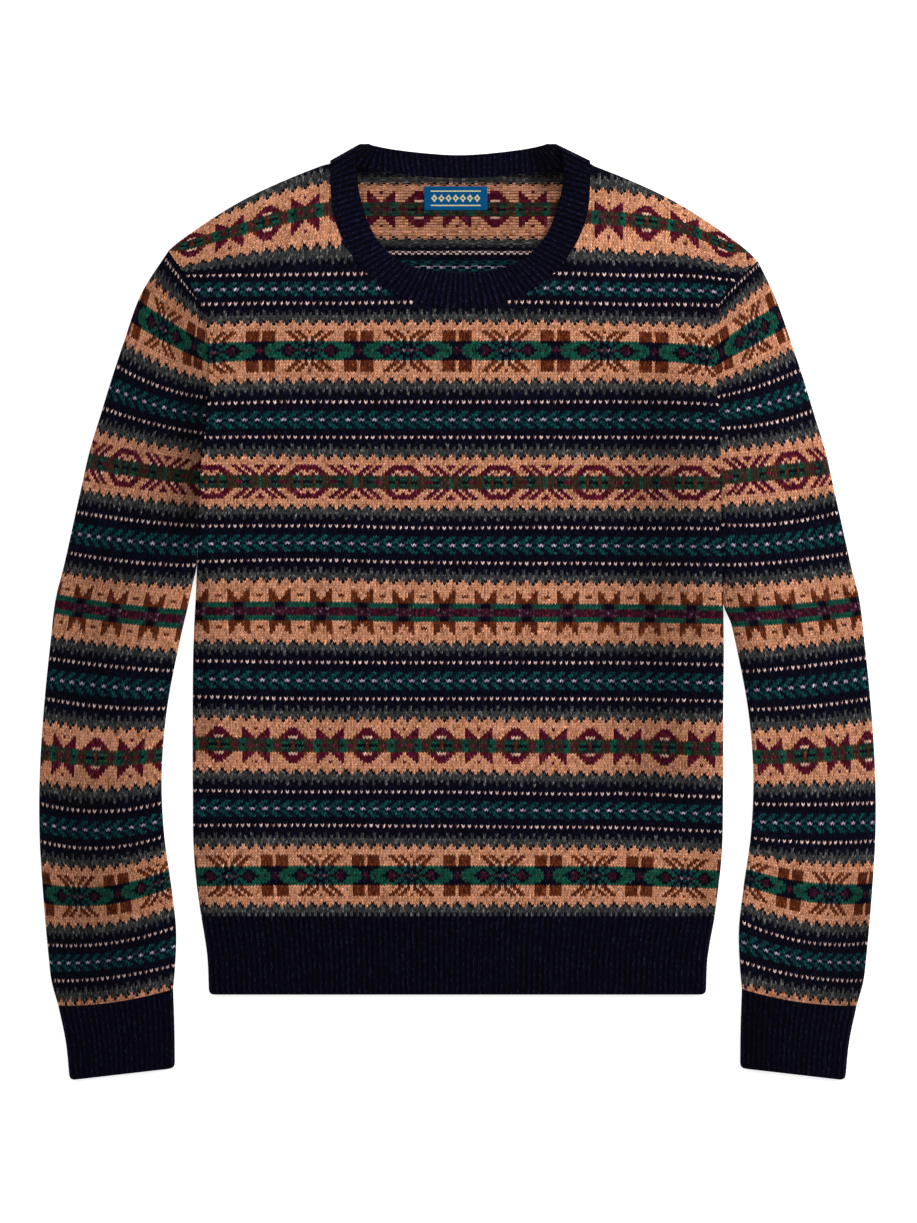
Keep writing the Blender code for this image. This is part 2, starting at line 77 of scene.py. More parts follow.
# The shoulder line, and the armhole seams from the shoulder to the underarm.
SHOULDER = ((252, 295), (241, 304.5), (213.5, 324.5), (180.2, 345), (137, 365), (110.4, 375.4))
SHOULDER_CORNER = 4.0
ARMHOLES = {
    "right": (
        (242.9, 302.5), (227.2, 278.3), (215.4, 254.6), (209.8, 228), (208.7, 201), (210.8, 160),
        (215.4, 122), (216.8, 104),
    ),
    "left": (
        (252.4, 293.9), (236.4, 279), (220.8, 262), (215, 236), (216.4, 205), (219.6, 165), (221.4, 125),
        (221.6, 104),
    ),
}
OUTWARDS = {"right": (-1.0, 1.0), "left": (1.0, 1.0)}

# Lines across a sleeve and a cuff, each from its outer fold (x, y) to its inner one (x, y).
SLEEVE = (
    (265.9, 266, 217.4, 98), (281, 224, 218.2, 91), (291.1, 193.5, 218.8, 83), (300.3, 163.4, 219.3, 74),
    (309.5, 133.1, 219.8, 64), (316.3, 102.9, 220.3, 53), (323.4, 71, 220.8, 40), (331, 37, 222.4, 24),
    (337.3, 12.2, 225.6, 8), (342.3, -28.1, 233.9, -28.1), (346.5, -68.5, 243.2, -76),
    (350.2, -117, 248.2, -125.5), (351.5, -150, 248.6, -154), (351.3, -190, 246.4, -190),
    (348.2, -240, 240, -236), (343.6, -292, 236.4, -278), (341.6, -310, 237.2, -297),
    (335.6, -332, 239, -318),
)
CUFF = ((335.6, -332, 239, -318), (329.4, -362, 237.9, -351.5), (326, -394.8, 237.5, -384.6))
CUFF_SAG = 4.0
# Between which heights each sleeve leaves the side of the body, and how far it is drawn in above them.
PARTINGS = {"right": (24, 37, 1.8), "left": (-10, 1.7, 2.7)}

NECK_CENTRE_X = 2.3
BAND_LEAN = -0.08
BAND_LEAN_FROM = 366.0
# Round half the neckband from the middle of the back: a place on its seam (x, y), one on its free edge
# (x, y), and which way its outside faces, from -1 for downwards to 1 for upwards.
NECKBAND = (
    (0, 363.7, 0, 383, -1), (31, 365, 32, 385, -1), (61, 368.6, 60, 388.7, -1),
    (88, 373.2, 71.5, 391.2, -1), (102.5, 376.4, 77, 392.4, -0.95), (107.6, 377.4, 81.6, 391, 0),
    (109, 371, 86.4, 384, 0.95), (109, 359.5, 86.6, 366, 1), (106.6, 334, 82.5, 342, 1),
    (97.5, 309, 73.5, 318, 1), (81.5, 286.5, 59.5, 300, 1), (59, 268.6, 42, 290, 1),
    (30.5, 257.5, 21.5, 285.4, 1), (0, 254, 0, 284.2, 1),
)
BAND_SEAM_GAP = 0.1
BAND_LIFT = 0.4
BAND_BULGE = 1.5

LABEL_SIZE = (53.0, 20.0)
LABEL_CENTRE = (-1.5, 346.5)

# Soft folds: where each starts (x, y) and ends (x, y), its width and its height.
FOLDS = (
    (-206, 128, -132, 66, 26, 1.6), (211, 122, 146, 48, 28, 1.7), (-196, -60, -170, -236, 34, 1.3),
    (198, -40, 176, -232, 32, 1.4), (-60, -236, 80, -226, 30, 1.1), (-150, 250, -96, 190, 30, 1.2),
    (152, 246, 104, 186, 30, 1.2), (-236, 20, -318, -26, 22, 1.9), (-246, -50, -330, -70, 20, 1.4),
    (236, 24, 322, -14, 22, 1.9), (246, -60, 328, -52, 20, 1.4), (-292, -160, -296, -286, 26, 1.8),
    (300, -170, 290, -288, 26, 1.8), (-232, 118, -268, 196, 24, 1.6), (236, 112, 270, 190, 24, 1.6),
)
FOLD_FADE = 30.0
FOLD_END = 0.35

# Stretches of painted shade on the wool: start, end, width and depth. Below nothing, the depth paints light,
# and it is paler.
PAINTED_SHADES = {
    "front": (
        (172, 168, 170, -130, 55, 0.38), (-215, 34, -213, -110, 18, 0.3),
        (-214, -190, -210, -262, 18, 0.25), (214, -190, 210, -262, 18, 0.28),
        (-160, 335, -110, 320, 50, -0.12), (175, 325, 140, 310, 50, -0.2),
    ),
    "back": (
        (0, 330, 0, 300, 300, 0.3), (-80, 370, 80, 368, 10, 0.4), (90, 384, 76, 362, 18, 0.75),
        (-88, 380, -72, 370, 10, 0.6),
    ),
    "right": (
        (-244, 284, -218, 215, 34, 0.25), (-214, 168, -218, 74, 36, 0.72), (-265, 190, -268, 40, 50, 0.2),
        (-305, 24, -305, -60, 55, 0.3), (-312, -160, -305, -320, 60, 0.4),
    ),
    "left": (
        (230, 26, 240, -60, 24, 0.32), (345, -250, 335, -325, 40, 0.35), (262, 245, 280, 150, 40, -0.12),
        (242, -322, 340, -336, 10, 0.25),
    ),
    "neckband": (
        (0, 300, 0, 270, 130, -0.55), (-95, 350, -70, 300, 40, -0.25), (70, 380, 86, 366, 15, 0.6),
        (-78, 378, -84, 366, 10, 0.3),
    ),
    "cuff_left": ((246, -335, 244, -395, 30, 0.45),),
    "cuff_right": (),
}
# Only faces higher than this take the painted shade and painted light.
SHADED_ABOVE = 2.0

# ---- the rows of stitches

# Rows are counted downwards from the middle of the yoke's band. Each line gives the height of one row
# across the front, at the places in ROW_X.
ROW_X = (-230, -190, -150, -100, -50, 0, 50, 100, 150, 190, 230)
FRONT_ROWS = {
    -30: (368, 383, 398, 408, 411, 411, 409, 402, 397, 387, 366),
    -10.5: (320.5, 335.4, 350.3, 360.4, 364, 364, 362, 354.9, 349.9, 339.4, 318.8),
    -6.5: (314.2, 329, 342.7, 352.5, 355.7, 355.7, 352, 345.2, 341, 333.1, 313.7),
    0: (306.2, 318.4, 330, 339.8, 344, 344, 340, 333, 328.4, 322, 304.5),
    6.5: (295.7, 303.8, 312.9, 321.3, 324, 324, 320, 314.4, 310.8, 307.2, 294.4),
    10.5: (289.8, 297.8, 304, 306.9, 308, 308, 306, 303.7, 300.5, 298.6, 289),
    15.5: (284.3, 289, 292, 293.4, 294, 294, 293.5, 292.7, 291.9, 290.4, 283.7),
    20: (281.6, 281.8, 282, 282.7, 283, 283, 283, 283, 281.5, 281.4, 278),
    30: (257, 257.5, 258.1, 258, 258.8, 259, 259.1, 258.3, 257, 257, 255.8),
    48: (214.6, 217.6, 218.6, 218.6, 218.6, 218.6, 218.6, 218.6, 218, 215.9, 210.4),
    66: (173, 174.1, 175.1, 175.1, 175.1, 175, 175, 175.2, 175, 174.4, 171.8),
    80: (144.9, 145.6, 145.7, 145.4, 145.5, 145.5, 145.5, 145.5, 145.5, 145.5, 144.5),
    114: (70.6, 71, 71, 70.9, 69.5, 69.2, 69.6, 69.5, 69, 68.9, 68.5),
    128: (40.7, 41.7, 42.6, 42.1, 40.7, 40.2, 39.6, 39.6, 39.1, 38.8, 38.2),
    166: (-42.3, -42.7, -43.4, -43.6, -43.9, -43.8, -43.8, -44, -44.1, -45, -45.8),
    180: (-72.2, -72.9, -73.9, -74.3, -74.3, -74.2, -74.1, -74.3, -74.6, -75.5, -76.4),
    214: (-151.2, -151.8, -152.4, -152.5, -152.5, -152.7, -153.8, -154.3, -154.1, -155.8, -157.1),
    228: (-180.6, -180.3, -180.3, -180.4, -181, -181.2, -181.8, -182.1, -182.8, -184.4, -186.1),
    246: (-224.3, -223.4, -222.9, -222.6, -222.6, -222.6, -222.6, -222.7, -223.4, -225.1, -226.8),
    261: (-257.2,) * len(ROW_X),
}
FRONT_SPAN = (-24, 261)
# The back's own rows over the neck opening. Below them it has the front's.
BACK_YOKE_ROWS = {
    -30: 396, -15.5: 366, -10.5: 358.3, -6.5: 352.8, 0: 337.3, 6.5: 322.1, 10.5: 312.9, 15.5: 306.2,
    20: 300.3, 30: 276.8,
}
BACK_ROWS = {row: (level,) * len(ROW_X) for row, level in BACK_YOKE_ROWS.items()}
BACK_ROWS |= {row: levels for row, levels in FRONT_ROWS.items() if row >= 66}

# Up the body: the height, and how wide a stitch is there.
BODY_PITCH = (
    (-257, 2.53), (-225, 2.55), (-153, 2.59), (-75, 2.61), (0, 2.66), (107, 2.67), (145, 2.72), (218, 2.76),
    (257, 2.74), (282, 2.69), (330, 2.655),
)
BODY_AXIS = -0.4

# Rows across the sleeves: the row, then its heights at the outer fold, in the middle and at the inner
# edge and how wide a stitch is, on the right sleeve and on the left one.
SLEEVE_ROWS = (
    (20, 321, 302, 284, 1.9, 314, 297, 279, 1.9),
    (30, 296.4, 277.4, 259.6, 1.96, 290.8, 274.3, 254.4, 1.96),
    (39.5, 274.5, 253.6, 237, 1.98, 271.5, 253.6, 233.6, 2),
    (48, 251.6, 232.3, 215.5, 2, 247.5, 230.3, 212.8, 2.02),
    (66, 205.7, 187.3, 178.8, 2.18, 202.3, 188.3, 179.6, 2.22),
    (80, 170.1, 156.7, 148.7, 2.24, 168, 156.7, 153.3, 2.32),
    (97, 126, 117.4, 111.5, 2.3, 120.5, 115.9, 111.6, 2.46),
    (114, 82.7, 75.4, 71, 2.34, 82.7, 73.1, 72.2, 2.42), (128, 48.7, 40.7, 37.8, 2.38, 48.3, 41, 38.2, 2.4),
    (147, 5.7, -2.4, -7.4, 2.42, 3.8, -2.5, -5.5, 2.38),
    (166, -40.2, -46.9, -50.8, 2.42, -39.5, -47, -51.4, 2.4),
    (180, -73.9, -81.1, -82.3, 2.44, -73.7, -80.6, -83.2, 2.42),
    (197, -118.4, -124.1, -121, 2.46, -117.2, -121.6, -123.2, 2.44),
    (214, -162.1, -168.8, -161.7, 2.46, -161.7, -163, -162.5, 2.44),
    (228, -193.9, -199.6, -189.7, 2.42, -193.6, -194.9, -191, 2.42),
    (246, -237.5, -239.3, -225, 2.34, -237.5, -236.5, -223.7, 2.34),
    (264, -280.8, -279.3, -266, 2.31, -279.3, -278.2, -260.8, 2.31),
    (278, -311, -308.2, -297.8, 2.31, -311, -307.5, -294.4, 2.31),
    (288.1, -335, -331, -320.5, 2.31, -335, -330.5, -320.5, 2.31),
)
SLEEVE_SPAN = (27, 289)
SLEEVE_CLOSING = 0.2
SLEEVE_LEAN = 0.6
BODY_COLUMNS, SLEEVE_COLUMNS = (-98, 98), (-36, 36)

# ---- the colourwork

# Half charts: each is mirrored about its first and last column and about its last row.
CHARTS = {
    "star": (
        ".bbbb...bb.bb..b",
        ".bbbb....bb.bb..",
        ".bbbb.....bb.bb.",
        ".bbbb......bbcbc",
        "nnnnnGGGGGTnTTnT",
        "nnnGGGGGnnGTnTnn",
        "unGGGGGnuunGTnnT",
        "uuGgGgnnuuunuglu",
    ),
    "lens": (
        "ww..ww.ww...wwww",
        "w..ww.ww...wwwww",
        "..ww.ww...www..w",
        ".wwcwwc..bwwcw..",
        "GooogggooooGGogg",
        "GooggGgoooogGogG",
        "Gooonnwwwoonnbnn",
    ),
    "tulip": (
        "...b...",
        "..bb...",
        "..bb..b",
        ".bbb...",
        "bbbb...",
        "nngTGTG",
        "nngGGGG",
        "uuluuuw",
        "luuuwuu",
    ),
    "cross": (
        "ww......w...w",
        "www.....ww...",
        "wwww....www..",
        "ccwwb...wwww.",
        "ggggoobGGgoog",
        "bgGGoooGGgoog",
        "bnnnowwGngwwg",
    ),
}
PERIODS = {"star": 30, "lens": 30, "tulip": 13, "cross": 24}

# Bands of colourwork by their middle row, and the rows of dots above and below them.
Band = namedtuple("Band", "chart middle dots_above dots_below")
BANDS = (
    Band("cross", 0, -20, 20),
    Band("star", 48, 30, 66),
    Band("lens", 97, 80, 114),
    Band("tulip", 147, 128, 166),
    Band("cross", 197, 180, 214),
    Band("star", 246, 228, 264),
    Band("plain", 300, 278, 330),
)
# The column that each band's chart starts from: on the body, and on the sleeves from their middle.
STARTS = {
    "body": (12, 0, -2, -4, -5, 0, 0),
    "right": (0, -19, -22, -2, -2, 4, 0),
    "left": (0, -13, -9, -2, -3, -7, 0),
}
# Rows of dots with the cream one column over, and the column where each strip's herringbone starts.
ODD_DOTS = {"body": (166, 180, 214), "right": (), "left": ()}
STRIP_STARTS = {"body": (3, 2, 2, 1, 1, 2), "right": (2, 2, 2, 2, 2, 2), "left": (2, 2, 2, 2, 2, 2)}
# Rows between a row of dots and the motif: of each four stitches, the yarns in turn.
FADE = ("nnnn", "nnnn", "nenn", "nene", "eeee", "eeee", "en.e", "n...", "....", "....")
YOKE_FADE = FADE[:1] + FADE[:5] + FADE[4:] + FADE[-1:]
LONG_STRIP = 12
HERRING = {3: (0, 1), 2: (3, 0), 1: (2, 3)}

# The colours spun into each yarn, the commonest first.
YARNS = {
    "n": ((8, 8, 24), (5, 4, 15), (17, 17, 42)),
    "e": ((62, 63, 62), (40, 41, 44), (106, 107, 104)),
    ".": ((212, 142, 102), (220, 154, 124), (162, 98, 66)),
    "c": ((216, 172, 148), (204, 150, 124), (176, 118, 92)),
    "d": ((226, 198, 190), (212, 178, 168), (190, 150, 146)),
    "x": ((96, 70, 70), (120, 92, 90), (70, 48, 50)),
    "m": ((20, 6, 18), (32, 8, 22), (12, 8, 20)),
    "G": ((10, 80, 62), (8, 62, 50), (32, 84, 68)),
    "T": ((8, 70, 66), (8, 56, 54), (20, 62, 58)),
    "h": ((6, 66, 68), (5, 46, 54), (14, 86, 84)),
    "g": ((34, 50, 40), (18, 32, 32), (56, 62, 50)),
    "w": ((88, 13, 36), (64, 9, 28), (116, 38, 58)),
    "u": ((56, 16, 34), (34, 12, 28), (84, 34, 56)),
    "b": ((104, 44, 18), (74, 30, 14), (124, 62, 34)),
    "o": ((62, 42, 30), (36, 42, 32), (84, 54, 40)),
    "l": ((84, 60, 80), (58, 34, 54), (140, 116, 138)),
    "v": ((176, 164, 188), (148, 136, 164), (200, 188, 206)),
    "q": ((112, 104, 130), (92, 88, 112), (136, 126, 150)),
    "r": ((6, 5, 23), (4, 3, 16), (19, 18, 40)),
    "k": ((6, 16, 30), (6, 9, 24), (8, 34, 42)),
}
LETTERS = "".join(YARNS)
PLY_SHARES = (0.52, 0.84)
PLY_BLEND = 0.35
STITCH_NOISE = 0.17


def linear(colour):
    value = np.asarray(colour, float) / 255
    return np.where(value <= 0.04045, value / 12.92, ((value + 0.055) / 1.055) ** 2.4)


PLIES = linear([YARNS[key] for key in LETTERS])


def row_yarns(row, columns, legs, where):
    """The yarn of each stitch of one row, as a letter. legs is 0 for its left half and 1 for its right."""
    index = next(i for i, band in enumerate(BANDS) if row <= band.dots_below)
    band = BANDS[index]
    if row < band.dots_above:
        if where != "body" and index == 1:
            return np.full(columns.shape, "n")
        above = BANDS[index - 1].dots_below
        columns = columns - STRIP_STARTS[where][index - 1]
        return strip_yarns(row - above, band.dots_above - above, columns, legs)
    start = STARTS[where][index]
    if row in (band.dots_above, band.dots_below):
        chosen = (columns + (row in ODD_DOTS[where])) % 2 == 0
        return np.where(chosen, np.where((legs == 0) & (columns % 3 == 0), "x", "d"), "m")
    offset = row - band.middle
    chart = CHARTS.get(band.chart, ())
    if abs(offset) < len(chart):
        period = PERIODS[band.chart]
        place = (columns - start) % period
        place = np.minimum(place, period - place)
        letters = np.array(list(chart[len(chart) - 1 - abs(offset)]))
        return letters[place]
    from_dots = min(row - band.dots_above, band.dots_below - row)
    fade = YOKE_FADE if band.middle == 0 else FADE
    return np.array(list(fade[min(from_dots, len(fade)) - 1]))[columns % 4]


def strip_yarns(row, length, columns, legs):
    """A strip of herringbone between two rows of dots."""
    offset = row - length // 2
    reach = 3 if length > LONG_STRIP else 2
    if abs(offset) > reach:
        return np.full(columns.shape, "n")
    place = columns % 4
    if offset == 0:
        return np.where(place > 1, "k", np.where(legs == place, "q", "v"))
    teal = np.isin(place, HERRING[abs(offset)])
    return np.where(teal, "h", "k")


# ---- curves and edges


def knots_of(rows):
    steps = np.linalg.norm(np.diff(rows[:, :2], axis=0), axis=1)
    return np.concatenate([[0.0], np.cumsum(steps)])


def through(rows, knots, at):
    """Smooth values of a table at the places given, on a cubic through its rows."""
    slope = np.gradient(rows, knots, axis=0)
    at = np.asarray(at, float)
    i = np.clip(np.searchsorted(knots, at, side="right") - 1, 0, len(knots) - 2)
    span = (knots[i + 1] - knots[i])[:, None]
    t = (at - knots[i])[:, None] / span
    rise = rows[i] * (1 + 2 * t) * (1 - t) ** 2 + rows[i + 1] * t * t * (3 - 2 * t)
    return rise + span * t * (1 - t) * (slope[i] * (1 - t) - slope[i + 1] * t)


def curve_points(table, fractions):
    rows = np.array(table, float)
    knots = knots_of(rows)
    return through(rows, knots, np.asarray(fractions) * knots[-1])


def half_width(heights, hand):
    rows = np.array(SIDES, float)
    column = {"right": 1, "left": 2}[hand]
    return through(rows[:, [column]], rows[:, 0], heights)[:, 0]


def moved_left(points, gap):
    along = np.gradient(points, axis=0)
    along /= np.linalg.norm(along, axis=1)[:, None]
    return points + gap * np.column_stack([-along[:, 1], along[:, 0]])


def rounded(edge_distance, radius):
    outwards = 1 - np.clip(edge_distance / radius, 0, 1)
    return np.sqrt(1 - outwards**2)


def stroke(points, x0, y0, x1, y1, width):
    """How far along a soft stroke each point is, and the stroke's strength there."""
    start, run = np.array((x0, y0)), np.array((x1 - x0, y1 - y0))
    share = np.clip((points - start) @ run / (run @ run), 0, 1)
    away = np.linalg.norm(points - start - share[:, None] * run, axis=1) / width
    return share, np.exp(-2 * away**2)


def lift(points, edge_distance):
    """Height of the soft folds over flat cloth, fading out towards the folded edges."""
    height = np.zeros(len(points))
    for *line, rise in FOLDS:
        share, strength = stroke(points, *line)
        taper = FOLD_END + (1 - FOLD_END) * np.sin(np.pi * share)
        height = np.maximum(height, rise * taper * strength)
    fade = np.clip(edge_distance / FOLD_FADE, 0, 1)
    return height * fade * fade * (3 - 2 * fade)


def shading(points, painted_strokes):
    """How much of its colour each place keeps under painted shade; where light is painted, more than all of
    it.
    """
    kept = np.ones(len(points))
    for *line, depth in painted_strokes:
        kept *= 1 - depth * stroke(points, *line)[1]
    return kept


TOUCHING = 0.01


def nearest_edge(points, lines):
    """Distance from each point to the nearest of some open lines, the direction away from it, and
    how far along the line the nearest place is."""
    nearest = np.full(len(points), np.inf)
    away = np.zeros((len(points), 2))
    along = np.zeros(len(points))
    for line in lines:
        starts = knots_of(line)
        for a, b, start in zip(line[:-1], line[1:], starts):
            run = b - a
            share = np.clip((points - a) @ run / max(run @ run, 1e-12), 0, 1)
            foot = a + share[:, None] * run
            offset = points - foot
            distance = np.linalg.norm(offset, axis=1)
            closer = distance < nearest
            touching = closer & (distance < TOUCHING)
            normal = np.array((-run[1], run[0])) / max(np.linalg.norm(run), 1e-9)
            nearest[closer] = distance[closer]
            along[closer] = start + (share * np.linalg.norm(run))[closer]
            away[closer] = offset[closer] / np.maximum(distance[closer], TOUCHING)[:, None]
            away[touching] = normal
    return nearest, away, along


def inside(points, outline):
    crossings = np.zeros(len(points), int)
    for (ax, ay), (bx, by) in zip(outline, np.roll(outline, -1, axis=0)):
        if ay == by:
            continue
        spans = (ay > points[:, 1]) != (by > points[:, 1])
        crossings += spans & (points[:, 0] < ax + (points[:, 1] - ay) * (bx - ax) / (by - ay))
    return crossings % 2 == 1


def closed(line):
    return np.concatenate([line, line[:1]])


def on_line(path, knots, marks):
    return np.column_stack([np.interp(marks, knots, path[:, axis]) for axis in (0, 1)])


# ---- outlines

EDGE_STEP = 4.0
# How many points lie along each edge.
ARMHOLE_POINTS, SIDE_POINTS, SHOULDER_POINTS, HEM_POINTS = 61, 91, 41, 30
SLEEVE_POINTS, WRIST_POINTS = 161, 25


def armhole(hand):
    """The armhole seam from the shoulder down, as distances outwards."""
    return curve_points(ARMHOLES[hand], np.linspace(0, 1, ARMHOLE_POINTS))


def neckline(part):
    low, high = (0.0, 1.0) if part == "front" else (-1.0, 0.0)
    half = np.array([(x, y) for x, y, _, _, facing in NECKBAND if low <= facing <= high])
    half = half if part == "front" else half[::-1]
    whole = np.concatenate([half, half[-2::-1] * (-1, 1)])
    length = knots_of(whole)[-1]
    points = curve_points(whole, np.linspace(0, 1, int(round(length / EDGE_STEP)) + 1))
    return moved_left(points[1:-1] + (NECK_CENTRE_X, 0), BAND_SEAM_GAP)


def panel_edges(hand):
    """A panel's side seam upwards, its armhole from the shoulder down, and its shoulder inwards."""
    heights = np.linspace(HEM_TOP + SEAM_GAP / 2, UNDERARM, SIDE_POINTS)
    side = np.column_stack([half_width(heights, hand), heights])
    side[-1, 0] -= SEAM_GAP / 2
    hole = moved_left(armhole(hand) * OUTWARDS[hand], -OUTWARDS[hand][0] * SEAM_GAP / 2)
    shoulder = curve_points(SHOULDER, np.linspace(0, 1, SHOULDER_POINTS)) * OUTWARDS[hand]
    shoulder[-1, 0] += NECK_CENTRE_X
    shoulder = shoulder[np.abs(shoulder[:, 0]) < abs(hole[0, 0]) - SHOULDER_CORNER]
    return side * OUTWARDS[hand], hole, np.concatenate([hole[:1], shoulder])


def panel_outline(part):
    """A panel's outline, anticlockwise, the folded edges on it, and its armholes."""
    side_right, hole_right, shoulder_right = panel_edges("right")
    side_left, hole_left, shoulder_left = panel_edges("left")
    across = np.linspace(0, 1, HEM_POINTS)[1:-1, None]
    hem = side_right[0] + across * (side_left[0] - side_right[0])
    stretches = [hem, side_left[:-1], hole_left[::-1], shoulder_left[1:], neckline(part)]
    stretches += [shoulder_right[:0:-1], hole_right, side_right[-2::-1]]
    folded = [side_left, shoulder_left, shoulder_right[::-1], side_right[::-1]]
    return np.concatenate(stretches), folded, [hole_left, hole_right]


def sleeve_edges(hand):
    """A flattened sleeve's two folded edges, from the armhole down, as distances outwards."""
    rows = np.array((armhole(hand)[[0, -1]].ravel(), *SLEEVE), float)
    knots = knots_of(rows)
    sections = through(rows, knots, np.linspace(0, knots[-1], SLEEVE_POINTS))
    low, high, draw = PARTINGS[hand]
    sections[1:, 2] -= draw * np.clip((sections[1:, 3] - low) / (high - low), 0, 1)
    beside_body = half_width(np.minimum(sections[:, 3], UNDERARM), hand) + SEAM_GAP
    sections[1:, 2] = np.maximum(sections[1:, 2], beside_body[1:])
    sections[0, [0, 2]] += SEAM_GAP / 2
    return sections[:, :2], sections[:, 2:4]


# ---- meshes


class Skin:
    """Points, faces, stitch coordinates and yarn colours of one piece, gathered part by part."""

    def __init__(self):
        self.points, self.uv, self.faces, self.colours = [], [], [], []
        self.floats, self.sharp = [], []
        self.count = 0

    def add(self, points, uv, faces, colour, floats=None):
        """Points with faces among them. floats are the colours of the yarns carried behind them."""
        offset = self.count
        self.points.append(np.asarray(points, float))
        self.uv.append(np.asarray(uv, float))
        self.count += len(points)
        self.link(np.asarray(faces) + offset, colour, False, floats)
        return offset

    def link(self, faces, colour, sharp=True, floats=None):
        self.faces.append(np.asarray(faces, int))
        self.colours.append(np.broadcast_to(colour, (len(faces), 3)))
        self.floats.append(np.broadcast_to(colour if floats is None else floats, (len(faces), 3)))
        self.sharp.append(np.full(len(faces), sharp))

    def build(self, name, finish, painted_strokes=()):
        points = np.concatenate(self.points)
        middles = np.concatenate([points[block].mean(axis=1) for block in self.faces])
        # Painted shade and painted light, on the upper faces only.
        painted_shade_factor = np.where(middles[:, 2] > SHADED_ABOVE, shading(middles[:, :2], painted_strokes), 1.0)[:, None]
        points = points * MM
        faces = [tuple(face) for block in self.faces for face in block.tolist()]
        mesh = bpy.data.meshes.new(name)
        mesh.from_pydata(points.tolist(), [], faces)
        sharp = mesh.attributes.new("sharp_face", "BOOLEAN", "FACE")
        sharp.data.foreach_set("value", np.concatenate(self.sharp))
        corner = np.empty(len(mesh.loops), int)
        mesh.loops.foreach_get("vertex_index", corner)
        layer = mesh.uv_layers.new(name="stitches")
        layer.data.foreach_set("uv", np.concatenate(self.uv)[corner].astype(np.float32).ravel())
        for attribute, blocks in (("yarn", self.colours), ("float", self.floats)):
            colours = np.concatenate(blocks) * painted_shade_factor
            rgba = np.column_stack([colours, np.ones(len(colours))]).astype(np.float32)
            mesh.attributes.new(attribute, "FLOAT_COLOR", "FACE").data.foreach_set("color", rgba.ravel())
        mesh.materials.append(finish)
        piece = bpy.data.objects.new(name, mesh)
        bpy.context.scene.collection.objects.link(piece)
        return piece


def yarn_colours(letters):
    """A colour for each face from its yarn, heathered and uneven."""
    index = np.vectorize(LETTERS.index, otypes=[int])(letters)
    ply = np.searchsorted(PLY_SHARES, rng.random(index.shape))
    blend = rng.uniform(0.0, PLY_BLEND, index.shape)[..., None]
    colour = PLIES[index, ply] * (1 - blend) + PLIES[index, 0] * blend
    return colour * np.exp(rng.normal(0, STITCH_NOISE, index.shape))[..., None]


def other_yarns(letters, stitch_row):
    """For each stitch, the row's other yarn, which is carried behind it."""
    others = letters.copy()
    for row in np.unique(stitch_row):
        chosen = stitch_row == row
        found, counts = np.unique(letters[chosen], return_counts=True)
        common = found[np.argsort(-counts)]
        if len(common) > 1:
            others[chosen] = np.where(letters[chosen] == common[0], common[1], common[0])
    return others


def open_edges(faces):
    """The directed edges round a set of faces, each with its face on the left."""
    sides = faces.shape[1]
    edges = np.concatenate([faces[:, [i, (i + 1) % sides]] for i in range(sides)])
    owner = np.tile(np.arange(len(faces)), sides)
    size = edges.max() + 1
    single = ~np.isin(edges[:, 0] * size + edges[:, 1], edges[:, 1] * size + edges[:, 0])
    return edges[single], owner[single]


def without_tabs(cells):
    """Cells left once those that hang on by one side are gone."""
    while True:
        hanging = np.bincount(open_edges(cells)[1], minlength=len(cells)) > 2
        if not hanging.any():
            return cells
        cells = cells[~hanging]


def between(a, steps_a, b, steps_b):
    """Triangles between two lines of vertices. The line whose next step comes first moves on."""
    faces, i, j = [], 0, 0
    while i < len(steps_a) or j < len(steps_b):
        if j == len(steps_b) or i < len(steps_a) and steps_a[i] <= steps_b[j]:
            i += 1
            faces.append((a[i - 1], b[j], a[i]))
        else:
            j += 1
            faces.append((a[i], b[j - 1], b[j]))
    return np.array(faces)


def turn(faces, turned):
    return faces[:, ::-1] if turned else faces


def boundary(cells):
    """The closed loop of vertices round some cells."""
    following = dict(open_edges(cells)[0].tolist())
    loop = [next(iter(following))]
    while len(loop) < len(following):
        loop.append(following[loop[-1]])
    return np.array(loop)


STITCH_VEE = 0.33
RING_GAP = 0.02
JITTER = 0.16
Stitches = namedtuple("Stitches", "flat uv depth cells letters rows columns ring along")


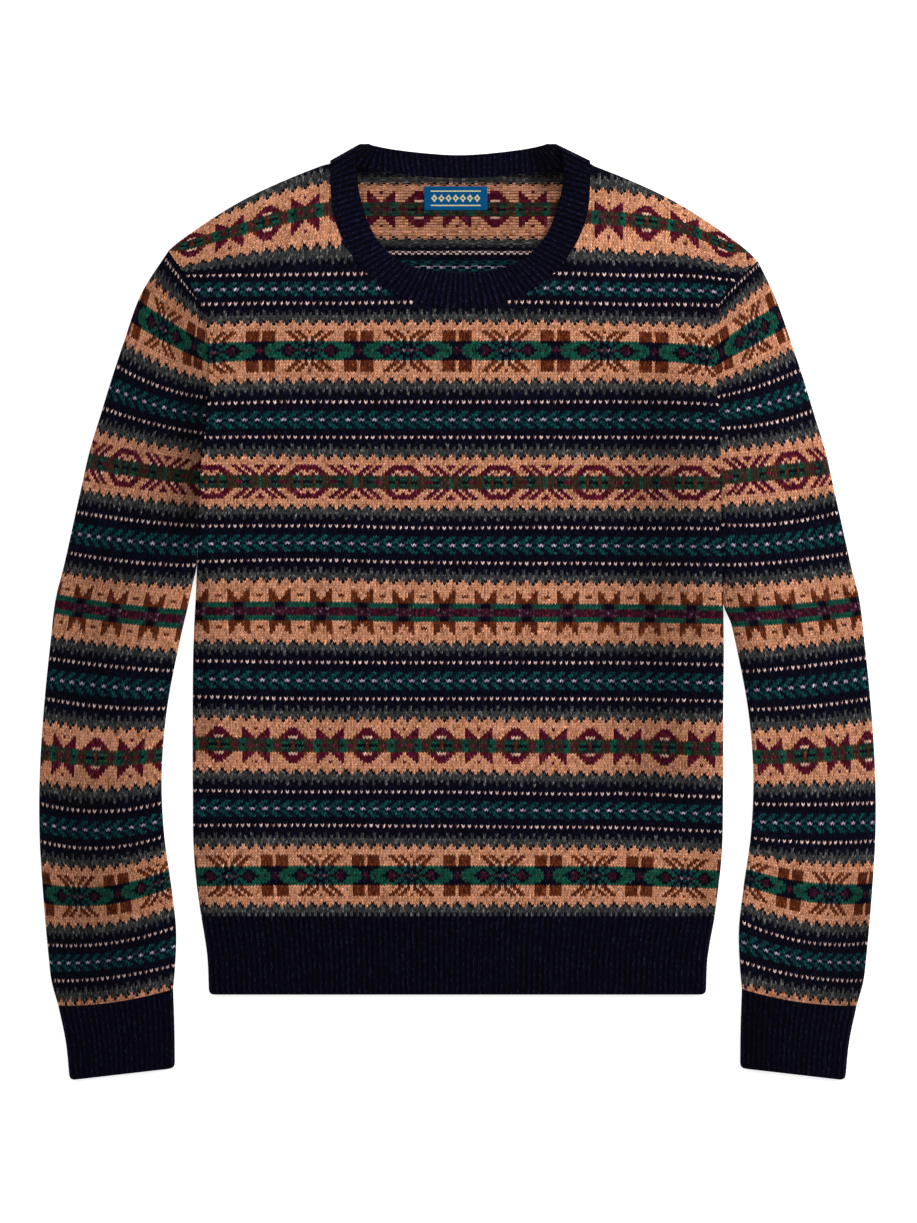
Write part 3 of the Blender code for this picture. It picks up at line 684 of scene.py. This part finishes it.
def stitched(place, columns, rows, where, outline, halves):
    """Stitches inside an outline that runs anticlockwise. Each is a V of two faces, or one plain face,
    and the ones at the edge end on the outline. ring is the loop of points round them, and along is
    how far along the outline each of those is."""
    u = np.arange(columns[0] * halves, columns[1] * halves + 1) / halves
    r = np.arange(rows[0], rows[1] + 1) - 0.5
    grid_u, grid_r = (grid.ravel() for grid in np.meshgrid(u, r))
    split = halves == 2
    middle = split & (np.abs(grid_u - np.round(grid_u)) > 0.25)
    slant = STITCH_VEE * split * np.where(middle, 1, -1)
    flat = place(grid_u - 0.5, grid_r + slant) + rng.normal(0, JITTER, (grid_u.size, 2))
    depth = (split & ~middle).astype(float)
    width = len(u)
    corner = (np.arange(len(r) - 1)[:, None] * width + np.arange(width - 1)).ravel()
    cells = np.column_stack([corner, corner + width, corner + width + 1, corner + 1])
    cells = without_tabs(cells[inside(flat[cells].mean(axis=1), outline)])
    stitch_row = rows[0] + cells[:, 0] // width
    left_side = u[cells[:, 0] % width] + 1e-6
    stitch_column = np.floor(left_side).astype(int)
    legs = np.floor((left_side - stitch_column) * halves).astype(int) + (halves == 1)
    letters = np.empty(len(cells), "<U1")
    for row in np.unique(stitch_row):
        chosen = stitch_row == row
        letters[chosen] = row_yarns(row, stitch_column[chosen], legs[chosen], where)
    used, cells = np.unique(cells, return_inverse=True)
    cells = cells.reshape(-1, 4)
    grid_u, grid_r, flat, depth = grid_u[used], grid_r[used], flat[used], depth[used]
    ring = boundary(cells)
    path = closed(outline)
    length = knots_of(path)
    along = nearest_edge(place(grid_u[ring] - 0.5, grid_r[ring]), [path])[2]
    first = np.argmin(along)
    ring, along = np.roll(ring, -first), np.roll(along, -first)
    for k in range(1, len(along)):
        along[k] = max(along[k], along[k - 1] + RING_GAP)
    flat[ring] = on_line(path, length, along)
    depth[ring] = 0.0
    uv = np.column_stack([grid_u, -grid_r])
    return Stitches(flat, uv, depth, cells, letters, stitch_row, stitch_column, ring, along)


INNER_CELL = 12.0
INNER_STEP = 6.0
INNER_COLOUR = linear((16, 13, 24))


def add_inner(skin, first, ring, along, outline, folded, layer, seam, folds):
    """The wall's plain inner side behind a skin, joined to it all round its edge."""
    path = closed(outline)
    length = knots_of(path)
    count = int(length[-1] / INNER_STEP)
    marks = (np.arange(count) + 0.5) / count * length[-1]
    edge = on_line(path, length, marks)
    distance = nearest_edge(edge, folded)[0]
    tangent = np.roll(edge, -1, axis=0) - np.roll(edge, 1, axis=0)
    inwards = np.column_stack([-tangent[:, 1], tangent[:, 0]]) / np.linalg.norm(tangent, axis=1)[:, None]
    edge = edge + inwards * (WALL * np.clip(1 - distance / INSET_BLEND, 0, 1))[:, None]
    low, high = edge.min(0), edge.max(0)
    across, up = (np.arange(low[k], high[k], INNER_CELL) for k in (0, 1))
    lattice = np.array([(x, y) for x in across for y in up])
    lattice = lattice[inside(lattice, edge)]
    gap = nearest_edge(lattice, [closed(edge)])[0]
    points = np.concatenate([edge, lattice[gap > INNER_STEP / 2]])
    sides = [(i, (i + 1) % count) for i in range(count)]
    faces = np.array(delaunay_2d_cdt([tuple(p) for p in points], sides, [], 1, 1e-4)[2])
    distance = nearest_edge(points, folded)[0]
    rise = rounded(np.maximum(distance - WALL, 0), layer.radius)
    height = seam + (layer.inner - seam) * rise + (lift(points, distance) if folds else 0.0)
    points = np.column_stack([points, height])
    offset = skin.add(points, points[:, :2] * 0, turn(faces, layer is TOP), INNER_COLOUR)
    ring, edge = closed(first + ring), closed(offset + np.arange(count))
    ring_steps, edge_steps = (np.append(at[1:], at[0] + length[-1]) for at in (along, marks))
    skin.link(turn(between(ring, ring_steps, edge, edge_steps), layer is UNDER), INNER_COLOUR)


# ---- where the stitches lie


def body_place(lines):
    """Where stitches lie on a panel: rows are smooth across it and even from one line to the next."""
    keys = np.array(sorted(lines))
    levels = np.array([lines[key] for key in keys])
    middles = levels[:, len(ROW_X) // 2]

    def place(u, row):
        x = BODY_AXIS + u * np.interp(np.interp(row, keys, middles), *np.transpose(BODY_PITCH))
        at_x = through(levels.T, np.array(ROW_X), np.clip(x, ROW_X[0], ROW_X[-1]))
        i = np.clip(np.searchsorted(keys, row, side="right") - 1, 0, len(keys) - 2)
        share = (row - keys[i]) / (keys[i + 1] - keys[i])
        pick = np.arange(len(x))
        y = at_x[pick, i] * (1 - share) + at_x[pick, i + 1] * share
        return np.column_stack([x, y])

    return place


def sleeve_place(hand):
    """Where stitches lie on a sleeve: each row is a shallow curve from its outer fold to its inner edge."""
    first = {"right": 1, "left": 5}[hand]
    rows = np.array(SLEEVE_ROWS, float)
    outer_line, inner_edge = sleeve_edges(hand)
    inner_line = np.concatenate([armhole(hand)[:-1], inner_edge[1:]])
    outer_line, inner_line = (line[np.argsort(line[:, 1]), ::-1].T for line in (outer_line, inner_line))

    def place(u, row):
        values = through(rows[:, first : first + 4], rows[:, 0], row)
        outer_y, middle_y, inner_y, pitch = values.T
        beyond_top = np.maximum(outer_y - outer_line[0, -1], 0)
        outer_x = np.interp(outer_y, *outer_line) - SLEEVE_LEAN * beyond_top
        inner_x = np.interp(inner_y, *inner_line)
        t = u * pitch / np.hypot(outer_x - inner_x, outer_y - inner_y) * OUTWARDS[hand][0]
        t = t - SLEEVE_CLOSING * np.maximum(t, 0) ** 2
        x = (outer_x + inner_x) / 2 + t * (outer_x - inner_x)
        s = t + 0.5
        y = inner_y * (1 - s) * (1 - 2 * s) + middle_y * 4 * s * (1 - s) + outer_y * s * (2 * s - 1)
        return np.column_stack([x, y]) * OUTWARDS[hand]

    return place


def sway(points):
    """Slow unevenness of cloth that lies flat."""
    x, y = points.T
    return (
        0.22 * np.sin(x / 31 + 0.6 * np.sin(y / 47))
        + 0.20 * np.sin(y / 24 + 0.9 * np.sin(x / 39) + 1.3)
        + 0.12 * np.sin((x + y) / 15 + 0.4)
    )


WALE_SINK = 0.28
EDGE_FADE = 10.0
# How deep and how wide the dip beside an armhole is, on the sleeves and on the body.
SEAM_DIPS = {"right": (1.7, 6.0), "left": (0.9, 4.0)}
BODY_DIP = (0.6, 3.0)


def add_inner_stitches(skin, first, stitches, folded, layer, seam):
    """The wall's inner side stitch for stitch, with each row's other yarn floating across it."""
    distance, inwards, _ = nearest_edge(stitches.flat, folded)
    pull = WALL * np.clip(1 - distance / INSET_BLEND, 0, 1)
    flat = stitches.flat + inwards * pull[:, None]
    rise = rounded(np.maximum(distance + pull - WALL, 0), layer.radius)
    height = seam + (layer.inner - seam) * rise
    letters = np.where(stitches.letters == "x", "d", stitches.letters)
    beside = [dots - 1 for band in BANDS for dots in (band.dots_above, band.dots_below)]
    letters = np.where(np.isin(stitches.rows, beside) & (stitches.columns % 2 == 1), "d", letters)
    others = np.where(letters == "w", "w", other_yarns(letters, stitches.rows))
    offset = skin.add(
        np.column_stack([flat, height]),
        stitches.uv,
        turn(stitches.cells, layer is TOP),
        yarn_colours(letters),
        yarn_colours(others),
    )
    a, b = stitches.ring, np.roll(stitches.ring, -1)
    rim = np.column_stack([first + a, first + b, offset + b, offset + a])
    skin.link(turn(rim, layer is TOP), INNER_COLOUR)


def add_layer(skin, layer, seam, extent, folded, holes, dip, seen_inside=False):
    """One wall of stitches with its inner side. The upper wall's are Vs with soft folds. extent is how
    its stitches are placed, their columns and rows, whose pattern it has, and its outline."""
    above = layer is TOP
    outline = extent[-1]
    made = stitched(*extent, 2 if above else 1)
    distance = nearest_edge(made.flat, folded)[0]
    rise = rounded(distance, layer.radius)
    height = seam + (layer.outer - seam) * rise
    if above:
        fade = np.clip(distance / EDGE_FADE, 0, 1)
        height += lift(made.flat, distance) + sway(made.flat) * fade - WALE_SINK * made.depth
        depth, width = dip
        height -= depth * np.exp(-((nearest_edge(made.flat, holes)[0] / width) ** 2)) * fade
    points = np.column_stack([made.flat, height])
    first = skin.add(points, made.uv, turn(made.cells, not above), yarn_colours(made.letters))
    if seen_inside:
        add_inner_stitches(skin, first, made, folded, layer, seam)
    else:
        add_inner(skin, first, made.ring, made.along, outline, folded, layer, seam, above)


def panel(part, finish):
    """The front with every stitch a V, or the back, which lies on plain ones."""
    outline, folded, holes = panel_outline(part)
    place = body_place({"front": FRONT_ROWS, "back": BACK_ROWS}[part])
    skin = Skin()
    extent = (place, BODY_COLUMNS, FRONT_SPAN, "body", outline)
    add_layer(skin, LAYERS[part], SEAMS[part], extent, folded, holes, BODY_DIP, part == "back")
    return skin.build(f"{part}_knit", finish, PAINTED_SHADES[part])


def sleeve(hand, finish):
    """A sleeve as an upper and an under layer, each a wall, that meet at its folded edges."""
    outer_edge, inner_edge = sleeve_edges(hand)
    sign = OUTWARDS[hand]
    hole = armhole(hand) + (SEAM_GAP / 2, 0)
    across = np.linspace(0, 1, WRIST_POINTS)[1:-1]
    start, end = outer_edge[-1], inner_edge[-1]
    cuff_line = start + across[:, None] * (end - start)
    cuff_line[:, 1] += SEAM_GAP / 2 - CUFF_SAG * 4 * across * (1 - across)
    outline = np.concatenate([hole[::-1], outer_edge[1:], cuff_line, inner_edge[:0:-1]]) * sign
    outline = outline[::-1] if hand == "left" else outline
    folded = [outer_edge * sign, inner_edge * sign]
    skin = Skin()
    extent = (sleeve_place(hand), SLEEVE_COLUMNS, SLEEVE_SPAN, hand, outline)
    for layer in (TOP, UNDER):
        add_layer(skin, layer, FOLD_LEVEL, extent, folded, [hole * sign], SEAM_DIPS[hand])
    return skin.build(f"sleeve_{hand}_knit", finish, PAINTED_SHADES[hand])


# ---- ribs

RIB_COLUMNS = 6
RIB_ROW = 2.3
RIB_SHAPE = np.array((0.0, 0.42, 0.92, 0.80, 0.92, 0.42))
RIB_VEE = np.array((0.0, 0.0, -0.2, 0.3, -0.2, 0.0))
# Painted shade in the grooves between the ribs and painted light on their crests, across each rib.
RIB_PAINTED_SHADE = np.array((0.3, 0.75, 1.65, 1.65, 0.75, 0.3))
RIB_FADE = 4.0
HEM_RIBS, CUFF_RIBS = 91, 21
CUFF_KNOTS = np.array([0.0, 30.0, 62.8])
CUFF_LENGTH = CUFF_KNOTS[-1]
BAND_DEPTH = 30.0
FREE_ROUND = 1.3
CORNER = 4.0
INNER_SHARES = np.array((0.0, 0.5, 0.88, 0.94, 1.0))
ROUND_ROWS = np.array((1.0, 0.62, 0.3, 0.1, 0.0))
ROUND_CLEARANCE = 0.3
FULL_WALL = 0.99


def rib_columns(ribs):
    """Fractions across a ribbed strip, the height of its ribs there, and how the stitches slant."""
    at = np.arange(ribs * RIB_COLUMNS + 1)
    ridge = -RIB_SINK + (RIB_RAISE + RIB_SINK) * RIB_SHAPE[at % RIB_COLUMNS]
    return at / at[-1], ridge, RIB_VEE[at % RIB_COLUMNS]


def rib_colours(rows, columns):
    """Navy faces, with painted shade down between the ribs and painted light on their crests."""
    painted_groove_shade = np.tile(RIB_PAINTED_SHADE, -(-columns // RIB_COLUMNS))[:columns]
    return yarn_colours(np.full(rows * columns, "r")) * np.tile(painted_groove_shade, rows)[:, None]


def grid_quads(rows, columns, wrap=False):
    i, j = np.indices((rows - 1, columns if wrap else columns - 1)).reshape(2, -1)
    k = (j + 1) % columns
    return np.column_stack([i * columns + j, i * columns + k, (i + 1) * columns + k, (i + 1) * columns + j])


def free_edge(share, length):
    """How thick a wall is at a share of the way to its round free edge, and whether stitches slant."""
    past = np.clip((share - (1 - FREE_ROUND / length)) / (FREE_ROUND / length), 0, 1)
    thick = np.sqrt(1 - past**2)
    return thick, share > 0 and thick > FULL_WALL


def row_shares(length):
    """Places along the ribs, row by row, closer together where the wall rounds over its free edge."""
    count = int(round(length / RIB_ROW))
    even = np.linspace(0, 1, count + 1)
    edge = FREE_ROUND / length
    even = even[even < 1 - edge - ROUND_CLEARANCE / count]
    return np.concatenate([even, 1 - edge * ROUND_ROWS])


def corner_pull(share, length):
    """How far a strip's side draws in near its free edge, where its corner is round."""
    left = np.clip(1 - (1 - share) * length / CORNER, 0, 1)
    return CORNER * (1 - np.sqrt(1 - left**2))


def flat_rib(ribs, width, share, length, layer, seam, inner_side):
    """Places across one side of a flattened rib, which is thin and round where it ends, its heights
    there, and how far its stitches slant."""
    fractions, ridge, vee = rib_columns(ribs)
    pull = WALL * inner_side
    places = pull + fractions * (width - 2 * pull)
    edge = np.minimum(places, width - places) - pull
    rise = rounded(edge, layer.radius)
    level = layer.inner if inner_side else layer.outer
    ridge = ridge * (layer is TOP and not inner_side)
    height = seam + (level - seam) * rise + ridge * rounded(edge, RIB_FADE)
    middle = seam + ((layer.inner + layer.outer) / 2 - seam) * rise
    thick, slants = free_edge(share, length)
    return places, middle + (height - middle) * thick, vee * RIB_ROW * (slants and not inner_side)


def ribbed(row, length, inner_shares, wrap, turned):
    """A ribbed wall, closed all round. row gives the points across the ribs on the outer or the inner
    side, at a share of the way to the free edge."""
    skin = Skin()
    starts, counts = [], []
    for inner_side, shares in ((False, row_shares(length)), (True, inner_shares)):
        sheet = np.array([row(share, inner_side) for share in shares])
        rows, columns = sheet.shape[:2]
        across = columns if wrap else columns - 1
        uv = np.stack(np.meshgrid(np.arange(columns) / RIB_COLUMNS * 2, -shares * length / RIB_ROW), axis=-1)
        quads = turn(grid_quads(rows, columns, wrap), turned != inner_side)
        colours = rib_colours(rows - 1, across)
        starts.append(skin.add(sheet.reshape(-1, 3), uv.reshape(-1, 2), quads, colours))
        counts.append(rows)
    j = np.arange(across)
    k = (j + 1) % columns
    base, top, inner_top = starts[1], (counts[0] - 1) * columns, starts[1] + (counts[1] - 1) * columns
    for rim in ((k, j, base + j, base + k), (top + j, top + k, inner_top + k, inner_top + j)):
        skin.link(turn(np.column_stack(rim), turned), rib_colours(1, across), sharp=False)
    for column, other_end in () if wrap else ((0, False), (columns - 1, True)):
        outer, inner = (start + np.arange(rows) * columns + column for start, rows in zip(starts, counts))
        steps = [np.arange(rows - 1) / (rows - 1) for rows in counts]
        faces = between(outer, steps[0], inner, steps[1])
        skin.link(turn(faces, other_end == turned), linear(YARNS["r"][0]))
    return skin


def hem(part, finish):
    top = HEM_TOP - SEAM_GAP / 2
    length = top - HEM_BOTTOM

    def row(share, inner_side):
        y = top - length * share
        right, left = (half_width([y], hand)[0] - corner_pull(share, length) for hand in ("right", "left"))
        across = (HEM_RIBS, right + left, share, length, LAYERS[part], SEAMS[part], inner_side)
        places, height, slant = flat_rib(*across)
        return np.column_stack([places - right, y - slant, height])

    skin = ribbed(row, length, INNER_SHARES, False, part == "front")
    return skin.build(f"hem_rib_{part}_knit", finish)


def cuff(hand, finish):
    rows = np.array(CUFF, float)

    def row(share, inner_side):
        section = through(rows, CUFF_KNOTS, [share * CUFF_LENGTH])[0]
        start, end = section[:2], section[2:4]
        run = end - start
        width = np.linalg.norm(run)
        drawn = corner_pull(share, CUFF_LENGTH)
        start, end = start + run * drawn / width, end - run * drawn / width
        width -= 2 * drawn
        around = []
        for layer in (TOP, UNDER):
            across = (CUFF_RIBS, width, share, CUFF_LENGTH, layer, FOLD_LEVEL, inner_side)
            places, height, slant = flat_rib(*across)
            part = places / width
            x, y = (start + part[:, None] * (end - start)).T
            y -= CUFF_SAG * 4 * part * (1 - part) * (1 - share) ** 2 + SEAM_GAP / 2 * (share == 0)
            y -= slant * (layer is TOP)
            around.append(np.column_stack([x * OUTWARDS[hand][0], y, height]))
        return np.concatenate([around[0], around[1][-2:0:-1]])

    skin = ribbed(row, CUFF_LENGTH, INNER_SHARES, True, hand == "right")
    return skin.build(f"cuff_{hand}_knit", finish, PAINTED_SHADES[f"cuff_{hand}"])


def neckband(finish):
    half = np.array(NECKBAND, float)
    loop = np.concatenate([half, half[-2:0:-1] * (-1, 1, -1, 1, 1), half[:1]])
    knots = knots_of((loop[:, :2] + loop[:, 2:4]) / 2)
    length = knots[-1]
    three_rounds = np.concatenate([loop[:-1], loop, loop[1:]])
    three_knots = np.concatenate([knots[:-1] - length, knots, knots[1:] + length])
    fractions, ridge, vee = (values[:-1] for values in rib_columns(int(round(length / RIB_PITCH))))
    stations = through(three_rounds, three_knots, fractions * length)
    stations[:, [0, 2]] += NECK_CENTRE_X
    stations[:, 2] += BAND_LEAN * np.clip(stations[:, 3] - BAND_LEAN_FROM, 0, None)
    seam, free = stations[:, :2], stations[:, 2:4]
    facing = np.sin(np.clip(stations[:, 4], -1, 1) * np.pi / 2)
    middle = (TOP_LEVEL + BAND_LIFT) / 2
    outer_z = middle + (middle + ridge * np.maximum(facing, 0)) * facing
    inner_z = middle + (middle - WALL - ridge * np.maximum(-facing, 0)) * facing
    run = (free - seam) / np.linalg.norm(free - seam, axis=1)[:, None]
    outwards = np.column_stack([run[:, 1], -run[:, 0]]) * np.sign(seam[:, :1] - NECK_CENTRE_X)
    bulge = outwards * np.sqrt(1 - facing**2)[:, None]
    shares = row_shares(BAND_DEPTH)

    def row(share, inner_side):
        thick, slants = free_edge(share, BAND_DEPTH)
        slanted = share + vee / len(shares) * slants
        base = seam + slanted[:, None] * (free - seam)
        outer = np.column_stack([base + bulge * BAND_BULGE, outer_z])
        inner = np.column_stack([base + bulge * (BAND_BULGE - WALL), inner_z])
        centre = (outer + inner) / 2
        return centre + ((inner if inner_side else outer) - centre) * thick

    return ribbed(row, BAND_DEPTH, shares, True, True).build("neckband_knit", finish, PAINTED_SHADES["neckband"])


# ---- label

LABEL_GROUND = (0, 75, 122)
LABEL_THREAD = (206, 196, 150)
LABEL_LEVEL = WALL + 0.3
LABEL_WALL = 0.6
LABEL_GRID = (107, 41)
LOZENGE_PITCH, LOZENGE_HALF = 6.0, (2.5, 3.0)
LOZENGE_RING, LOZENGE_THREAD = 0.75, 0.3
LINE_AT, LINE_HALF = 6.0, 0.3
FIGURE_REACH = 21
LABEL_NOISE = 0.06


def label(finish):
    """The woven label: a thin plate with a row of plain lozenges between two fine lines."""
    columns, rows = LABEL_GRID
    x = np.linspace(-0.5, 0.5, columns) * LABEL_SIZE[0]
    y = np.linspace(-0.5, 0.5, rows) * LABEL_SIZE[1]
    gx, gy = (grid.ravel() for grid in np.meshgrid(x, y))
    edge = np.minimum(LABEL_SIZE[0] / 2 - np.abs(gx), LABEL_SIZE[1] / 2 - np.abs(gy))
    swell = 0.3 * np.sin(gx / 9.0 + 0.5) * np.sin(gy / 7.0 + 1.0) * np.clip(edge / 4, 0, 1)
    top = LABEL_LEVEL + LABEL_WALL * (0.5 + 0.5 * rounded(edge, 1.0)) + np.maximum(swell, -0.2)
    quads = grid_quads(rows, columns)
    points = np.column_stack([gx + LABEL_CENTRE[0], gy + LABEL_CENTRE[1], top])
    uv = np.column_stack([gx, gy])
    across, up = uv[quads].mean(axis=1).T
    from_middle = (across + LOZENGE_PITCH / 2) % LOZENGE_PITCH - LOZENGE_PITCH / 2
    lozenge = np.abs(from_middle) / LOZENGE_HALF[0] + np.abs(up) / LOZENGE_HALF[1]
    figure = np.abs(lozenge - LOZENGE_RING) < LOZENGE_THREAD
    figure = (figure | (np.abs(np.abs(up) - LINE_AT) < LINE_HALF)) & (np.abs(across) < FIGURE_REACH)
    woven = np.where(figure[:, None], linear(LABEL_THREAD), linear(LABEL_GROUND))
    skin = Skin()
    skin.add(points, uv, quads, woven * np.exp(rng.normal(0, LABEL_NOISE, len(quads)))[:, None])
    under = np.column_stack([points[:, :2], np.full(len(points), LABEL_LEVEL)])
    skin.add(under, uv, quads[:, ::-1], linear(LABEL_GROUND))
    loop = boundary(quads)
    count = len(points)
    rim = np.array([(b, a, a + count, b + count) for a, b in zip(loop, np.roll(loop, -1))])
    skin.link(rim, linear(LABEL_GROUND))
    return skin.build("neck_label_woven", finish)


# ---- materials

WOOL_GLOSS = {"Roughness": 0.92, "Specular IOR Level": 0.03, "Sheen Weight": 0.02, "Sheen Roughness": 0.5}
FIBRES = {"Scale": 1700.0, "Detail": 3.0, "Roughness": 0.7}
PATCHES = {"Scale": 760.0, "Detail": 2.0}
FIBRE_SHADE = (1.3, 0.28)
PATCH_SHADE = (1.3, 0.35)
FLOAT_FROM = 0.8
# Where pale stray fibres with a painted highlight begin in the fibre noise, and how strongly they are added.
STRAY_HIGHLIGHT_FROM, STRAY_HIGHLIGHT_SHARE = 0.52, 2.2
FIBRE_HEIGHT = 0.35
ROUND_ACROSS, ROUND_ALONG = 0.6, 0.35
THREAD_SHADE = (0.7, 0.75)


class Look:
    """A material whose nodes are made from their inputs: outputs are linked, and the rest is set."""

    def __init__(self, name, inputs):
        self.material = bpy.data.materials.new(name)
        self.material.use_nodes = True
        self.tree = self.material.node_tree
        self.shader = self.tree.nodes["Principled BSDF"]
        self.plug(self.shader, inputs)

    def plug(self, node, inputs):
        for key, value in dict(inputs).items():
            if isinstance(value, bpy.types.NodeSocket):
                self.tree.links.new(value, node.inputs[key])
            else:
                node.inputs[key].default_value = value

    def node(self, kind, inputs=(), output=0, **settings):
        node = self.tree.nodes.new(f"ShaderNode{kind}")
        for key, value in settings.items():
            setattr(node, key, value)
        self.plug(node, inputs)
        return node.outputs[output]

    def math(self, operation, *values):
        return self.node("Math", enumerate(values), operation=operation)

    def hump(self, value, power):
        """Rises from 0 and falls back as the value goes from 0 to 1."""
        wave = self.math("SINE", self.math("MULTIPLY", value, np.pi))
        return self.math("POWER", self.math("MAXIMUM", wave, 0.0), power)

    def colour(self, attribute):
        return self.node("Attribute", output="Color", attribute_name=attribute)

    def stitches(self):
        return self.node("UVMap", uv_map="stitches")

    def finish(self, colour, height, strength, distance):
        bump = {"Strength": strength, "Distance": distance * MM, "Height": height}
        self.plug(self.shader, {"Base Color": colour, "Normal": self.node("Bump", bump)})
        return self.material


def knit_material(name, painted_shade_depth):
    """Wool: the stitch's own colour, uneven along its fibres, with painted shade between the stitches."""
    wool = Look(name, WOOL_GLOSS)
    math = wool.math
    stitches = wool.stitches()
    across = math("FRACT", math("ADD", wool.node("SeparateXYZ", {0: stitches}, "Y"), 0.5))
    along = math("FRACT", math("MULTIPLY", wool.node("SeparateXYZ", {0: stitches}, "X"), 2.0))
    body = math("MULTIPLY", wool.hump(across, ROUND_ACROSS), wool.hump(along, ROUND_ALONG))
    place = wool.node("TexCoord", output="Object")
    fibres = wool.node("TexNoise", {"Vector": place, **FIBRES})
    patches = wool.node("TexNoise", {"Vector": place, **PATCHES})
    uneven = math("MULTIPLY_ADD", fibres, *FIBRE_SHADE), math("MULTIPLY_ADD", patches, *PATCH_SHADE)
    uneven = math("MULTIPLY", *uneven)
    # Painted shade: darker towards the edges of each stitch, where the stitches meet.
    value = math("MULTIPLY", uneven, math("MULTIPLY_ADD", body, painted_shade_depth, 1 - painted_shade_depth))
    floats = math("GREATER_THAN", across, FLOAT_FROM)
    shown = {0: floats, 6: wool.colour("yarn"), 7: wool.colour("float")}
    shown = wool.node("Mix", shown, 2, data_type="RGBA")
    # Pale stray fibres and a painted highlight on them: paler colour added where the fibre noise is high.
    stray_and_highlight = math("MAXIMUM", math("SUBTRACT", fibres, STRAY_HIGHLIGHT_FROM), 0.0)
    stray_and_highlight = math("MULTIPLY", math("MULTIPLY", stray_and_highlight, wool.node("RGBToBW", {0: shown})), STRAY_HIGHLIGHT_SHARE)
    colour = wool.node("VectorMath", {0: shown, "Scale": value}, operation="SCALE")
    colour = wool.node("VectorMath", {0: colour, 1: stray_and_highlight}, operation="ADD")
    height = math("MULTIPLY_ADD", fibres, FIBRE_HEIGHT, body)
    return wool.finish(colour, height, strength=0.8, distance=0.5)


def label_material(name):
    """A tightly woven satin label: fine ribs of thread, with its pattern in the colours of its faces."""
    satin = Look(name, {"Roughness": 0.7, "Specular IOR Level": 0.05})
    stitches = satin.stitches()
    waves = {"Vector": stitches, "Scale": 0.9, "Distortion": 0.6}
    threads = satin.node("TexWave", waves, "Fac", bands_direction="Y")
    uneven = satin.math("MULTIPLY", threads, satin.node("TexNoise", {"Vector": stitches, "Scale": 2.5}))
    level = satin.math("MULTIPLY_ADD", uneven, *THREAD_SHADE)
    colour = satin.node("VectorMath", {0: satin.colour("yarn"), "Scale": level}, operation="SCALE")
    return satin.finish(colour, threads, strength=0.5, distance=0.15)


# ---- the scene

knit = knit_material("fair_isle_wool", painted_shade_depth=0.6)
rib = knit_material("rib_wool", painted_shade_depth=0.4)
woven = label_material("woven_label")

front = panel("front", knit)
back = panel("back", knit)
hem_front = hem("front", rib)
hem_back = hem("back", rib)
sleeves = {hand: sleeve(hand, knit) for hand in ("right", "left")}
cuffs = {hand: cuff(hand, rib) for hand in ("right", "left")}
band = neckband(rib)
tag = label(woven)

PIECES = (
    (front, "front_panel", "fair_isle_knit"),
    (back, "back_panel", "fair_isle_knit"),
    (hem_front, "hem_rib_front", "rib_knit"),
    (hem_back, "hem_rib_back", "rib_knit"),
    (sleeves["right"], "sleeve_right", "fair_isle_knit"),
    (sleeves["left"], "sleeve_left", "fair_isle_knit"),
    (cuffs["right"], "cuff_right", "rib_knit"),
    (cuffs["left"], "cuff_left", "rib_knit"),
    (band, "neckband", "rib_knit"),
    (tag, "neck_label", "woven_label"),
)
for piece, node, slot in PIECES:
    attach(piece, "root")
    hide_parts(node)

# ---- floor, light and camera

FLOOR_REACH = 25.0
FLOOR_DROP = 0.0006
LENS = 150.0
SENSOR = 36.0
FRAME_HEIGHT = 1.02732
FRAME_CENTRE = (0.00084, -0.00084, 0.006)

scene = bpy.context.scene
floor_mesh = bpy.data.meshes.new("floor")
corners = [(x * FLOOR_REACH, y * FLOOR_REACH, 0) for x, y in ((-1, -1), (1, -1), (1, 1), (-1, 1))]
floor_mesh.from_pydata(corners, [], [(0, 1, 2, 3)])
floor = bpy.data.objects.new("floor", floor_mesh)
floor.location.z = -FLOOR_DROP
scene.collection.objects.link(floor)
paper = {"Base Color": (0.93, 0.93, 0.93, 1), "Roughness": 0.9}
paper |= {"Emission Color": (1, 1, 1, 1), "Emission Strength": 0.6}
floor_mesh.materials.append(Look("paper", paper).material)

world = bpy.data.worlds.new("studio")
world.use_nodes = True
world.node_tree.nodes["Background"].inputs["Color"].default_value = (1, 1, 1, 1)
world.node_tree.nodes["Background"].inputs["Strength"].default_value = 0.5
scene.world = world


def area_light(name, place, size, power):
    """A square light that shines on the middle of the garment."""
    data = bpy.data.lights.new(name, "AREA")
    data.shape, data.size, data.energy = "SQUARE", size, power
    lamp = bpy.data.objects.new(name, data)
    lamp.location = place
    lamp.rotation_euler = (-Vector(place)).to_track_quat("-Z", "Y").to_euler()
    scene.collection.objects.link(lamp)


area_light("key", (1.5, 0.7, 1.2), 1.0, 34.0)
area_light("fill", (-0.9, 1.4, 2.2), 1.6, 14.0)

camera_data = bpy.data.cameras.new("camera")
camera_data.lens, camera_data.sensor_width, camera_data.clip_end = LENS, SENSOR, 20.0
camera = bpy.data.objects.new("camera", camera_data)
camera.location = Vector(FRAME_CENTRE) + Vector((0, 0, FRAME_HEIGHT * LENS / SENSOR))
scene.collection.objects.link(camera)
scene.camera = camera
scene.view_settings.view_transform = "Standard"
